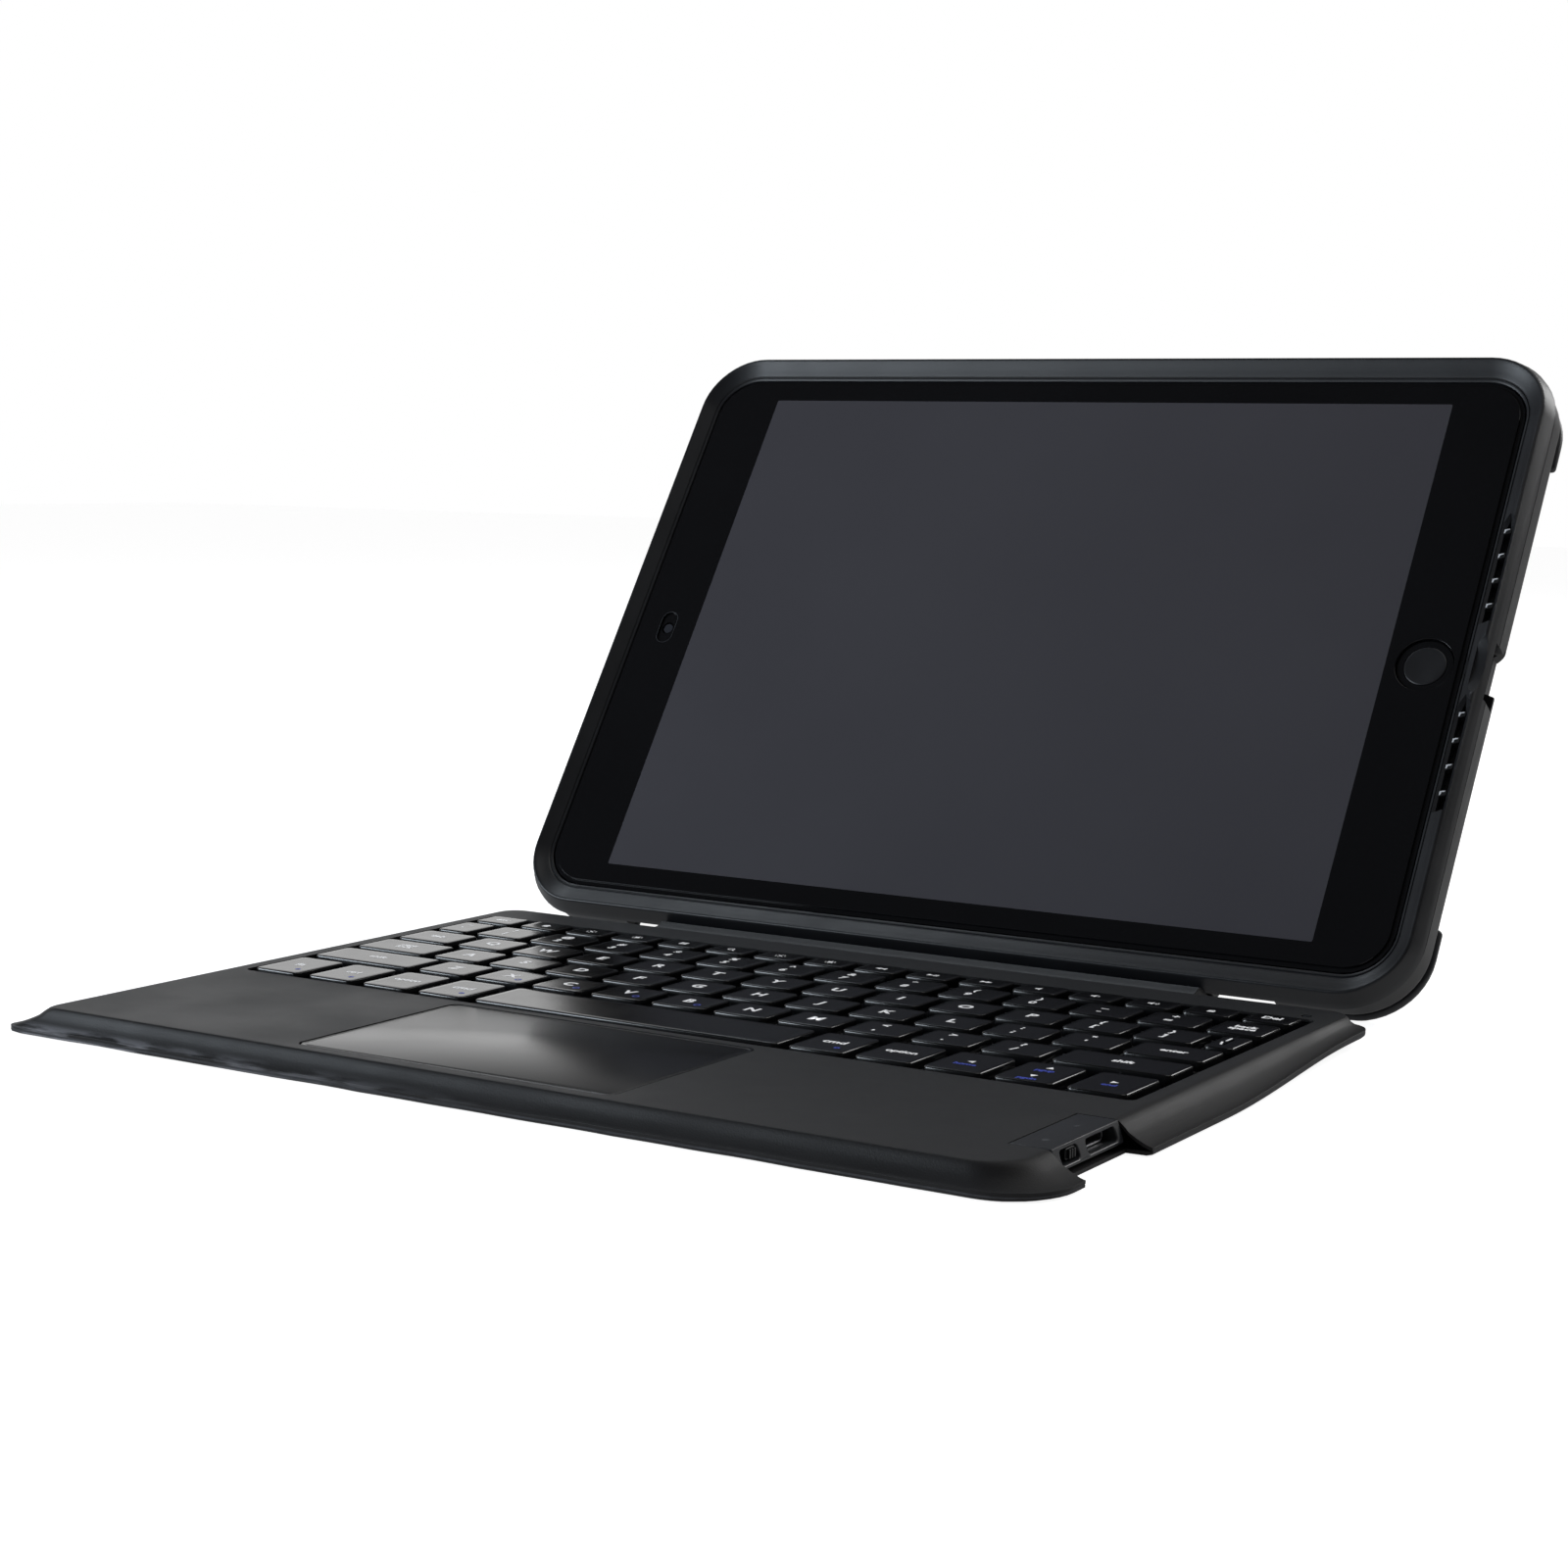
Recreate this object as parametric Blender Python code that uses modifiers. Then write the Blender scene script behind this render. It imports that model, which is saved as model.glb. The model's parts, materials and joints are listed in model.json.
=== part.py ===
"""Tablet keyboard case: a keyboard folio with a trackpad, a rugged tablet case on a flexible
flap hinge, a kickstand, and the tablet that the case holds.

Metres, +Z up. The origin is the centre of the keyboard's flat underside, +X is the user's
right, +Y runs away from the user. The case opens on an axis along X behind the keyboard.
"""
import math

import bmesh
import bpy
from mathutils import Matrix

MM = 0.001
GAP = 0.3 * MM

# Keyboard folio: two skins pressed together at the rim, with a plastic core between them.
RIM_HALF_X = 130.0 * MM
RIM_FRONT = -88.6 * MM
RIM_BACK = 88.2 * MM
RIM_RADIUS = 6.0 * MM
BASE_TOP = 0.8 * MM
DECK_TOP = 6.4 * MM
SKIN = 0.7 * MM
RIM_TOP = 1.8 * MM
FLAT_HALF_X = 121.5 * MM
FLAT_FRONT = -84.9 * MM
FLAT_BACK = 86.7 * MM
FLAT_RADIUS = 5.0 * MM
CORE_HALF_X = 120.6 * MM
CORE_FRONT = -83.8 * MM
CORE_BACK = 85.6 * MM
CORE_WALL = 1.4 * MM
TRAY_LOW = 1.0 * MM
TRAY_TOP = 1.7 * MM
FRAME_LOW = 2.0 * MM
ROOF_LOW = 4.6 * MM
ROOF_TOP = 5.4 * MM

# Keys. Rows are (front edge, depth), keys are (left edge, width).
KEY_TOP = 7.0 * MM
KEY_LOW = 4.8 * MM
KEY_CORNER = 1.0 * MM
DOME_REACH = 2.2 * MM
PITCH = 17.16 * MM
CAP = 14.2 * MM
FIELD_HALF_X = 116.0 * MM
ROW_PITCH = 16.13 * MM
ROW_Z = -1.75 * MM
LETTER_DEPTH = 13.1 * MM
BOTTOM_ROW = (-23.4 * MM, 17.8 * MM)
FUNCTION_ROW = (62.8 * MM, 9.4 * MM)
FUNCTION_KEYS = 16
FUNCTION_CAP = 11.7 * MM
FIRST_LEFT = {"number": -103.3 * MM, "q": -96.8 * MM, "a": -91.5 * MM, "z": -83.2 * MM}
LETTER_COUNT = {"number": 12, "q": 12, "a": 11, "z": 10}
KEY_SPACE = 2.9 * MM
LEFT_MODIFIER_PITCH = 16.77 * MM
RIGHT_MODIFIER_PITCH = 16.57 * MM
LEFT_MODIFIERS = 4
MODIFIER_CAP = 13.5 * MM
WELL_HALF_X = 118.3 * MM
WELL_FRONT = -24.6 * MM
WELL_BACK = 74.4 * MM
WELL_RADIUS = 2.0 * MM

# Trackpad, in the palm rest a little left of the middle.
PAD_LEFT = -51.0 * MM
PAD_RIGHT = 31.6 * MM
PAD_FRONT = -81.6 * MM
PAD_BACK = -27.6 * MM
PAD_RADIUS = 2.5 * MM

# Port module, set in the right edge of the palm rest.
PORT_LEFT = 113.9 * MM
PORT_RIGHT_TOP = 122.6 * MM
PORT_RIGHT = 124.0 * MM
PORT_FRONT = -69.6 * MM
PORT_BACK = -40.8 * MM
PORT_LOW = 2.0 * MM
SWITCH_SLOT = (-67.0 * MM, -59.4 * MM)
SWITCH_KNOB = (-63.9 * MM, -59.7 * MM)
SOCKET_SLOT = (-56.0 * MM, -43.0 * MM)
SLOT_Z = (2.8 * MM, 5.6 * MM)

# Status lamp, behind the last key of the function row.
LAMP = (114.4 * MM, 78.2 * MM)

# Tablet plane: u runs to the right, v up the tablet, n out of the glass towards the user.
TILT = math.radians(33.37)
HINGE_Y = 95.1 * MM
HINGE_Z = 5.9 * MM
HINGE_N = 3.4 * MM
CREST = 2.5 * MM
OPENING_HALF = (124.0 * MM, 85.2 * MM)
OPENING_RADIUS = 12.0 * MM
OUTER_HALF = (130.6 * MM, 92.0 * MM)
OUTER_RADIUS = 18.0 * MM
FRAME_BACK_N = -2.8 * MM
SHELL_FRONT_N = -3.1 * MM
SHELL_INNER_N = -8.0 * MM
SHELL_BACK_N = -10.8 * MM
BUMPER_N = (-13.8 * MM, -11.1 * MM)
FLAP_HALF_X = 79.0 * MM

# Kickstand, hinged on the back of the case.
PIVOT_V = 4.0 * MM
PIVOT_N = -13.6 * MM
LEG_ANGLE = math.radians(20.0)
LEG_HALF_X = 75.0 * MM
LEG_THICK = 2.4 * MM
FOOT_THICK = 3.0 * MM
FOOT_LENGTH = 6.0 * MM
FLOOR_GAP = 0.2 * MM
PIN_RADIUS = 1.0 * MM
BORE_RADIUS = 1.3 * MM

# Tablet, a generic 10.2 inch one that clears the case's opening.
TABLET_HALF = (123.7 * MM, 84.9 * MM)
TABLET_RADIUS = 11.7 * MM
DISPLAY_HALF = (103.9 * MM, 77.95 * MM)
FILM_N = (-0.05 * MM, 0.25 * MM)
GLASS_N = (-1.45 * MM, -0.35 * MM)
HOUSING_N = (-7.6 * MM, -1.75 * MM)
HOME_U = 114.0 * MM
HOME_RADIUS = 7.2 * MM
FRONT_CAMERA = (-113.5 * MM, -1.6 * MM)
REAR_CAMERA = (-112.4 * MM, 74.8 * MM)
CAMERA_HOLE = 7.8 * MM
CAMERA_RING = 9.3 * MM
PORT_GAP_V = (-8.0 * MM, 8.0 * MM)

ARC_STEPS = 5


def clear_scene():
    for thing in list(bpy.data.objects):
        bpy.data.objects.remove(thing, do_unlink=True)


def new_collection(name):
    group = bpy.data.collections.new(name)
    bpy.context.scene.collection.children.link(group)
    return group


def new_material(name, colour, roughness, metallic=0.0):
    material = bpy.data.materials.new(name)
    material.use_nodes = True
    shader = material.node_tree.nodes["Principled BSDF"]
    shader.inputs["Base Color"].default_value = (*colour, 1.0)
    shader.inputs["Roughness"].default_value = roughness
    shader.inputs["Metallic"].default_value = metallic
    return material


def materials():
    """One material for each finish, by name."""
    return {
        "skin": new_material("soft_skin", (0.030, 0.030, 0.033), 0.75),
        "plastic": new_material("black_plastic", (0.022, 0.022, 0.024), 0.45),
        "module": new_material("grey_plastic", (0.045, 0.046, 0.052), 0.40),
        "keycap": new_material("keycap_plastic", (0.015, 0.015, 0.016), 0.30),
        "rubber": new_material("black_rubber", (0.020, 0.020, 0.020), 0.85),
        "flap": new_material("flap_fabric", (0.018, 0.018, 0.020), 0.80),
        "steel": new_material("steel", (0.55, 0.55, 0.57), 0.35, 1.0),
        "board": new_material("circuit_board", (0.02, 0.12, 0.06), 0.50),
        "film": new_material("membrane_film", (0.45, 0.47, 0.50), 0.40),
        "cell": new_material("battery_foil", (0.60, 0.60, 0.62), 0.35, 0.6),
        "glass": new_material("black_glass", (0.006, 0.006, 0.007), 0.08),
        "screen": new_material("dark_screen", (0.035, 0.035, 0.042), 0.25),
        "aluminium": new_material("grey_aluminium", (0.42, 0.43, 0.45), 0.35, 1.0),
        "lamp": new_material("lamp_lens", (0.30, 0.32, 0.36), 0.20),
    }


def arc(centre, radius, start, end, steps=ARC_STEPS):
    """Points along an arc, angles in degrees, both ends included."""
    points = []
    for step in range(steps + 1):
        angle = math.radians(start + (end - start) * step / steps)
        points.append((centre[0] + radius * math.cos(angle), centre[1] + radius * math.sin(angle)))
    return points


def rounded(left, right, front, back, radius, steps=ARC_STEPS):
    """A rectangle with round corners, anticlockwise."""
    points = arc((right - radius, front + radius), radius, -90, 0, steps)
    points += arc((right - radius, back - radius), radius, 0, 90, steps)
    points += arc((left + radius, back - radius), radius, 90, 180, steps)
    points += arc((left + radius, front + radius), radius, 180, 270, steps)
    return points


def rounded_about(half, radius, steps=ARC_STEPS):
    return rounded(-half[0], half[0], -half[1], half[1], radius, steps)


def circle(centre, radius, sides):
    return arc(centre, radius, 0, 360.0 * (sides - 1) / sides, sides - 1)


def outline_mesh(name, outlines, low, high):
    """A flat outline with a thickness. Outlines inside another one are its holes."""
    curve = bpy.data.curves.new(name, "CURVE")
    curve.dimensions = "2D"
    curve.fill_mode = "BOTH"
    curve.extrude = (high - low) / 2
    for outline in outlines:
        spline = curve.splines.new("POLY")
        spline.points.add(len(outline) - 1)
        for point, (x, y) in zip(spline.points, outline):
            point.co = (x, y, 0.0, 1.0)
        spline.use_cyclic_u = True
    guide = bpy.data.objects.new(name + "_guide", curve)
    bpy.context.scene.collection.objects.link(guide)
    graph = bpy.context.evaluated_depsgraph_get()
    mesh = bpy.data.meshes.new_from_object(guide.evaluated_get(graph))
    bpy.data.objects.remove(guide, do_unlink=True)
    weld(mesh)
    mesh.transform(Matrix.Translation((0.0, 0.0, (low + high) / 2)))
    return mesh


def weld(mesh):
    work = bmesh.new()
    work.from_mesh(mesh)
    bmesh.ops.remove_doubles(work, verts=work.verts, dist=0.000001)
    bmesh.ops.recalc_face_normals(work, faces=work.faces)
    work.to_mesh(mesh)
    work.free()


def add_object(name, mesh, material, parent=None, group=None):
    mesh.name = name
    mesh.materials.clear()
    mesh.materials.append(material)
    thing = smooth(bpy.data.objects.new(name, mesh))
    (group or PARTS).objects.link(thing)
    if parent is not None:
        thing.parent = parent
    return thing


def plate(name, outlines, low, high, material, parent=None):
    return add_object(name, outline_mesh(name, outlines, low, high), material, parent)


def box_mesh(name, low, high):
    work = bmesh.new()
    bmesh.ops.create_cube(work, size=1.0)
    size = [h - l for l, h in zip(low, high)]
    centre = [(h + l) / 2 for l, h in zip(low, high)]
    bmesh.ops.scale(work, vec=size, verts=work.verts)
    bmesh.ops.translate(work, vec=centre, verts=work.verts)
    mesh = bpy.data.meshes.new(name)
    work.to_mesh(mesh)
    work.free()
    return mesh


def box(name, low, high, material, parent=None):
    return add_object(name, box_mesh(name, low, high), material, parent)


def side_plate_mesh(name, outlines, low, high):
    """An outline in the Y-Z plane, extruded along X."""
    mesh = outline_mesh(name, outlines, low, high)
    mesh.transform(Matrix(((0, 0, 1, 0), (1, 0, 0, 0), (0, 1, 0, 0), (0, 0, 0, 1))))
    return mesh


def front_plate_mesh(name, outlines, low, high):
    """An outline in the X-Z plane, extruded along Y."""
    mesh = outline_mesh(name, outlines, -high, -low)
    mesh.transform(Matrix(((1, 0, 0, 0), (0, 0, -1, 0), (0, 1, 0, 0), (0, 0, 0, 1))))
    return mesh


def together(name, meshes):
    """Several closed meshes in one, as a tool for a Boolean."""
    work = bmesh.new()
    for mesh in meshes:
        work.from_mesh(mesh)
        bpy.data.meshes.remove(mesh)
    group = bpy.data.meshes.new(name)
    work.to_mesh(group)
    work.free()
    return group


def combine(thing, mesh, operation):
    """Join a closed mesh, in the object's own space, to an object, or take it out of it."""
    tool = add_object(thing.name + "_tool", mesh, thing.data.materials[0], thing.parent, CUTTERS)
    tool.location = thing.location
    tool.hide_render = True
    tool.display_type = "WIRE"
    boolean = thing.modifiers.new(operation.lower(), "BOOLEAN")
    boolean.operation = operation
    boolean.solver = "EXACT"
    boolean.object = tool


def cut(thing, mesh):
    combine(thing, mesh, "DIFFERENCE")


def join(thing, mesh):
    combine(thing, mesh, "UNION")


def soften(thing, width, segments, wanted):
    """Bevel the sharp edges whose two ends satisfy a test."""
    work = bmesh.new()
    work.from_mesh(thing.data)
    weights = work.edges.layers.float.new("bevel_weight_edge")
    for edge in work.edges:
        sharp = edge.calc_face_angle(0.0) > math.radians(40)
        edge[weights] = 1.0 if sharp and all(wanted(end.co) for end in edge.verts) else 0.0
    work.to_mesh(thing.data)
    work.free()
    bevel = thing.modifiers.new("bevel", "BEVEL")
    bevel.limit_method = "WEIGHT"
    bevel.width = width
    bevel.segments = segments


def smooth(thing):
    """Round faces shade smoothly, edges sharper than this stay sharp."""
    thing.data.shade_smooth()
    thing.data.set_sharp_from_angle(angle=math.radians(35))
    return thing


# ---------------------------------------------------------------- keyboard folio

def rim_outline():
    return rounded(-RIM_HALF_X, RIM_HALF_X, RIM_FRONT, RIM_BACK, RIM_RADIUS)


def core_outline(inset=0.0):
    radius = 4.0 * MM - inset
    return rounded(-CORE_HALF_X + inset, CORE_HALF_X - inset,
                   CORE_FRONT + inset, CORE_BACK - inset, radius, 2)


def well_outline(inset=0.0):
    return rounded(-WELL_HALF_X + inset, WELL_HALF_X - inset,
                   WELL_FRONT + inset, WELL_BACK - inset, WELL_RADIUS, 2)


def pad_outline(grow=0.0):
    return rounded(PAD_LEFT - grow, PAD_RIGHT + grow, PAD_FRONT - grow, PAD_BACK + grow,
                   PAD_RADIUS + grow, 3)


def port_clearance(name, left):
    """The space that the port module takes out of the right edge."""
    return box_mesh(name, (left, PORT_FRONT - GAP, TRAY_TOP), (0.15, PORT_BACK + GAP, 0.02))


def base_skin(mats):
    skin = plate("base_skin", [rim_outline()], 0.0, BASE_TOP, mats["skin"])
    low = (PORT_RIGHT + GAP, PORT_FRONT - GAP, -0.001)
    cut(skin, box_mesh("notch", low, (0.15, PORT_BACK + GAP, 0.01)))


def bottom_tray(mats):
    plate("bottom_tray", [core_outline()], TRAY_LOW, TRAY_TOP, mats["plastic"])


def deck_frame(mats):
    """The moulded core: a roof and its side walls, open below."""
    frame = plate("deck_frame", [core_outline(), well_outline(-GAP), pad_outline(GAP)],
                  FRAME_LOW, ROOF_TOP, mats["plastic"])
    palm = rounded(-CORE_HALF_X + CORE_WALL, CORE_HALF_X - CORE_WALL, CORE_FRONT + CORE_WALL,
                   WELL_FRONT - 2.0 * MM, 2.0 * MM, 1)
    back = rounded(-CORE_HALF_X + CORE_WALL, CORE_HALF_X - CORE_WALL, WELL_BACK + 1.6 * MM,
                   CORE_BACK - CORE_WALL, 2.0 * MM, 1)
    cut(frame, outline_mesh("palm_pocket", [palm], FRAME_LOW - MM, ROOF_LOW))
    cut(frame, outline_mesh("back_pocket", [back], FRAME_LOW - MM, ROOF_LOW))
    cut(frame, port_clearance("port_bay", PORT_LEFT - GAP))


def deck_skin(mats):
    """The top skin: a flat deck that flares down to the rim, as one open sheet with a thickness."""
    mesh = bpy.data.meshes.new("deck_skin")
    flat = rounded(-FLAT_HALF_X, FLAT_HALF_X, FLAT_FRONT, FLAT_BACK, FLAT_RADIUS)
    work = bmesh.new()
    rings = []
    for outline, height in ((flat, DECK_TOP), (rim_outline(), RIM_TOP)):
        rings.append([work.verts.new((x, y, height)) for x, y in outline])
    count = len(flat)
    for index in range(count):
        after = (index + 1) % count
        work.faces.new((rings[0][index], rings[1][index], rings[1][after], rings[0][after]))
    work.faces.new(rings[0])
    work.to_mesh(mesh)
    work.free()
    skin = add_object("deck_skin", mesh, mats["skin"])
    thick = skin.modifiers.new("thickness", "SOLIDIFY")
    thick.thickness = SKIN
    thick.offset = -1.0
    cut(skin, outline_mesh("well_hole", [well_outline()], ROOF_TOP - MM, 0.02))
    cut(skin, outline_mesh("pad_hole", [pad_outline(GAP)], ROOF_TOP - MM, 0.02))
    cut(skin, port_clearance("port_hole", PORT_LEFT - GAP))
    cut(skin, outline_mesh("lamp_hole", [circle(LAMP, 1.3 * MM, 10)], ROOF_TOP - MM, 0.02))


def keyboard_inside(mats):
    """What the key well and the palm rest hold."""
    plate("key_plate", [well_outline(0.5 * MM)], 2.0 * MM, 2.3 * MM, mats["steel"])
    plate("key_membrane", [well_outline(0.8 * MM)], 2.6 * MM, 2.8 * MM, mats["film"])
    sheet = plate("dome_sheet", [well_outline(0.8 * MM)], 3.0 * MM, 3.2 * MM, mats["rubber"])
    domes = []
    for keys in key_table().values():
        for left, width, front, depth in keys:
            x, y = left + width / 2, front + depth / 2
            domes.append(box_mesh("dome", (x - DOME_REACH, y - DOME_REACH, 3.1 * MM),
                                  (x + DOME_REACH, y + DOME_REACH, 3.4 * MM)))
    join(sheet, together("domes", domes))
    box("battery_pack", (-112.0 * MM, -78.0 * MM, 2.0 * MM), (-58.0 * MM, -36.0 * MM, 4.3 * MM),
        mats["cell"])
    box("main_board", (42.0 * MM, -78.0 * MM, 2.1 * MM), (104.0 * MM, -36.0 * MM, 3.1 * MM),
        mats["board"])
    box("sleep_magnet", (60.0 * MM, 77.4 * MM, 2.0 * MM), (80.0 * MM, 82.6 * MM, 4.3 * MM),
        mats["steel"])
    plate("status_lamp", [circle(LAMP, 0.9 * MM, 10)], ROOF_TOP + GAP, DECK_TOP, mats["lamp"])


# ---------------------------------------------------------------- keys

def letter_row(name, index):
    front = ROW_Z + index * ROW_PITCH
    left = FIRST_LEFT[name]
    return [(left + k * PITCH, CAP, front, LETTER_DEPTH) for k in range(LETTER_COUNT[name])]


def end_keys(name, index):
    """The wide keys that fill a letter row out to both sides of the key field."""
    row = letter_row(name, index)
    front = row[0][2]
    first_end = row[0][0] - KEY_SPACE
    last_start = row[-1][0] + CAP + KEY_SPACE
    left = (-FIELD_HALF_X, first_end + FIELD_HALF_X, front, LETTER_DEPTH)
    right = (last_start, FIELD_HALF_X - last_start, front, LETTER_DEPTH)
    return left, right


def right_modifier(index):
    """Keys of the bottom row counted from the right arrow inwards."""
    left = FIELD_HALF_X - MODIFIER_CAP - index * RIGHT_MODIFIER_PITCH
    return (left, MODIFIER_CAP, *BOTTOM_ROW)


def key_table():
    """Every key as (left, width, front, depth), grouped by the node it belongs to."""
    function_pitch = (2 * FIELD_HALF_X - FUNCTION_CAP) / (FUNCTION_KEYS - 1)
    function = [(-FIELD_HALF_X + k * function_pitch, FUNCTION_CAP, *FUNCTION_ROW)
                for k in range(FUNCTION_KEYS)]
    backquote, backspace = end_keys("number", 3)
    tab, backslash = end_keys("q", 2)
    caps, enter = end_keys("a", 1)
    shift_left, shift_right = end_keys("z", 0)
    left_modifiers = [(-FIELD_HALF_X + k * LEFT_MODIFIER_PITCH, MODIFIER_CAP, *BOTTOM_ROW)
                      for k in range(LEFT_MODIFIERS)]
    space_left = -FIELD_HALF_X + LEFT_MODIFIERS * LEFT_MODIFIER_PITCH
    space_right = right_modifier(4)[0] - KEY_SPACE
    return {
        "keys_function_row": function,
        "keys_number_row": [backquote] + letter_row("number", 3),
        "keys_q_row": letter_row("q", 2) + [backslash],
        "keys_a_row": letter_row("a", 1),
        "keys_z_row": letter_row("z", 0),
        "keys_left_modifiers": left_modifiers,
        "keys_right_modifiers": [right_modifier(4), right_modifier(3)],
        "key_backspace": [backspace],
        "key_tab": [tab],
        "key_caps_lock": [caps],
        "key_enter": [enter],
        "key_shift_left": [shift_left],
        "key_shift_right": [shift_right],
        "key_space": [(space_left, space_right - space_left, *BOTTOM_ROW)],
        "key_arrow_left": [right_modifier(2)],
        "key_arrow_up_down": [right_modifier(1)],
        "key_arrow_right": [right_modifier(0)],
    }


def keycaps(mats):
    """The caps of one node stand on a thin web, which makes a row of them one piece."""
    for name, keys in key_table().items():
        outlines = [rounded(left, left + width, front, front + depth, KEY_CORNER, 1)
                    for left, width, front, depth in keys]
        caps = plate(name, outlines, KEY_LOW, KEY_TOP, mats["keycap"])
        if len(keys) > 1:
            lefts = [key[0] for key in keys]
            middle = keys[0][2] + keys[0][3] / 2
            low = (min(lefts) + 2 * MM, middle - MM, KEY_LOW + 0.1 * MM)
            high = (max(lefts) + 2 * MM, middle + MM, KEY_LOW + 0.5 * MM)
            join(caps, box_mesh("web", low, high))


# ---------------------------------------------------------------- trackpad, switch and ports

def trackpad(mats):
    """The trackpad tips about its back edge, over a switch under its front edge."""
    pivot = bpy.data.objects.new("trackpad_pivot", None)
    pivot.location = (0.0, PAD_BACK, ROOF_TOP)
    PARTS.objects.link(pivot)
    glass = plate("trackpad_glass", [pad_outline()], ROOF_TOP + 0.1 * MM, DECK_TOP - 0.1 * MM,
                  mats["glass"], pivot)
    board = plate("trackpad_board", [pad_outline(-2.0 * MM)], ROOF_TOP - 1.0 * MM,
                  ROOF_TOP - 0.2 * MM, mats["board"], pivot)
    for piece in (glass, board):
        piece.location = -pivot.location
    middle = (PAD_LEFT + PAD_RIGHT) / 2
    box("trackpad_switch", (middle - 3 * MM, PAD_FRONT + 3 * MM, FRAME_LOW),
        (middle + 3 * MM, PAD_FRONT + 9 * MM, 3.4 * MM), mats["steel"])


def port_module(mats):
    profile = [(PORT_LEFT, PORT_LOW), (PORT_RIGHT, PORT_LOW), (PORT_RIGHT, PORT_LOW + 0.6 * MM),
               (PORT_RIGHT_TOP, DECK_TOP), (PORT_LEFT, DECK_TOP)]
    mesh = front_plate_mesh("port_module", [profile], PORT_FRONT, PORT_BACK)
    module = add_object("port_module", mesh, mats["module"])
    outside = PORT_RIGHT + 2 * MM
    for name, depth, (front, back) in (("switch_slot", 120.6 * MM, SWITCH_SLOT),
                                       ("socket_slot", 115.4 * MM, SOCKET_SLOT)):
        cut(module, box_mesh(name, (depth, front, SLOT_Z[0]), (outside, back, SLOT_Z[1])))
    shell_outer = rounded(-54.2 * MM, -45.2 * MM, SLOT_Z[0] + GAP, SLOT_Z[1] - GAP, 0.9 * MM, 2)
    shell_inner = rounded(-53.7 * MM, -45.7 * MM, SLOT_Z[0] + 0.65 * MM, SLOT_Z[1] - 0.65 * MM, 0.5 * MM, 2)
    shell = side_plate_mesh("charging_socket", [shell_outer, shell_inner], 115.8 * MM, 121.4 * MM)
    add_object("charging_socket", shell, mats["steel"])
    box("power_switch", (121.0 * MM, SWITCH_KNOB[0], SLOT_Z[0] + GAP),
        (123.4 * MM, SWITCH_KNOB[1], SLOT_Z[1] - GAP), mats["plastic"])


# ---------------------------------------------------------------- tablet case

def case_pivot():
    """An empty on the hinge axis, turned so that its X, Y and Z are the tablet's u, v and n."""
    pivot = bpy.data.objects.new("case_pivot", None)
    pivot.location = (0.0, HINGE_Y, HINGE_Z)
    pivot.rotation_euler = (math.pi / 2 - TILT, 0.0, 0.0)
    PARTS.objects.link(pivot)
    return pivot


def on_tablet_plane(thing):
    """Closed, the case lies centred on the keyboard, so its centre is HINGE_Y away from the hinge."""
    thing.location = (0.0, HINGE_Y, -HINGE_N)
    return thing


def front_frame(mats, pivot):
    outer = rounded_about(OUTER_HALF, OUTER_RADIUS)
    opening = rounded_about(OPENING_HALF, OPENING_RADIUS)
    frame = plate("front_frame", [outer, opening], FRAME_BACK_N, CREST, mats["rubber"], pivot)
    inside = max(OPENING_HALF)
    soften(frame, 1.9 * MM, 2, lambda p: p.z > 0 and is_outside(p, OUTER_HALF, OUTER_RADIUS))
    on_tablet_plane(frame)
    low, high = PORT_GAP_V
    cut(frame, box_mesh("port_scoop", (inside + 3.4 * MM, low, -0.01), (0.14, high, 0.01)))
    cut(frame, box_mesh("port_way", (inside - MM, low, -0.01), (0.14, high, -1.2 * MM)))
    for sign in (-1, 1):
        cut(frame, speaker_recess(sign))


def is_outside(point, half, radius):
    """True for a corner of the rounded outline itself, not of a smaller one inside it."""
    dx = max(abs(point.x) - (half[0] - radius), 0.0)
    dy = max(abs(point.y) - (half[1] - radius), 0.0)
    near = 0.5 * MM
    on_side = abs(point.x) > half[0] - near or abs(point.y) > half[1] - near
    return on_side or math.hypot(dx, dy) > radius - near


def speaker_recess(sign):
    """A long recess in the crest beside the speakers, pointed at its upper end."""
    left, right = 125.3 * MM, 129.3 * MM
    middle = (left + right) / 2
    low, high = (10.0 * MM, 42.0 * MM) if sign > 0 else (-42.0 * MM, -10.0 * MM)
    outline = [(left, low), (right, low), (right, high - 3 * MM), (middle, high), (left, high - 3 * MM)]
    return outline_mesh("speaker_recess", [outline], CREST - 3.6 * MM, CREST + 2 * MM)


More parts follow.
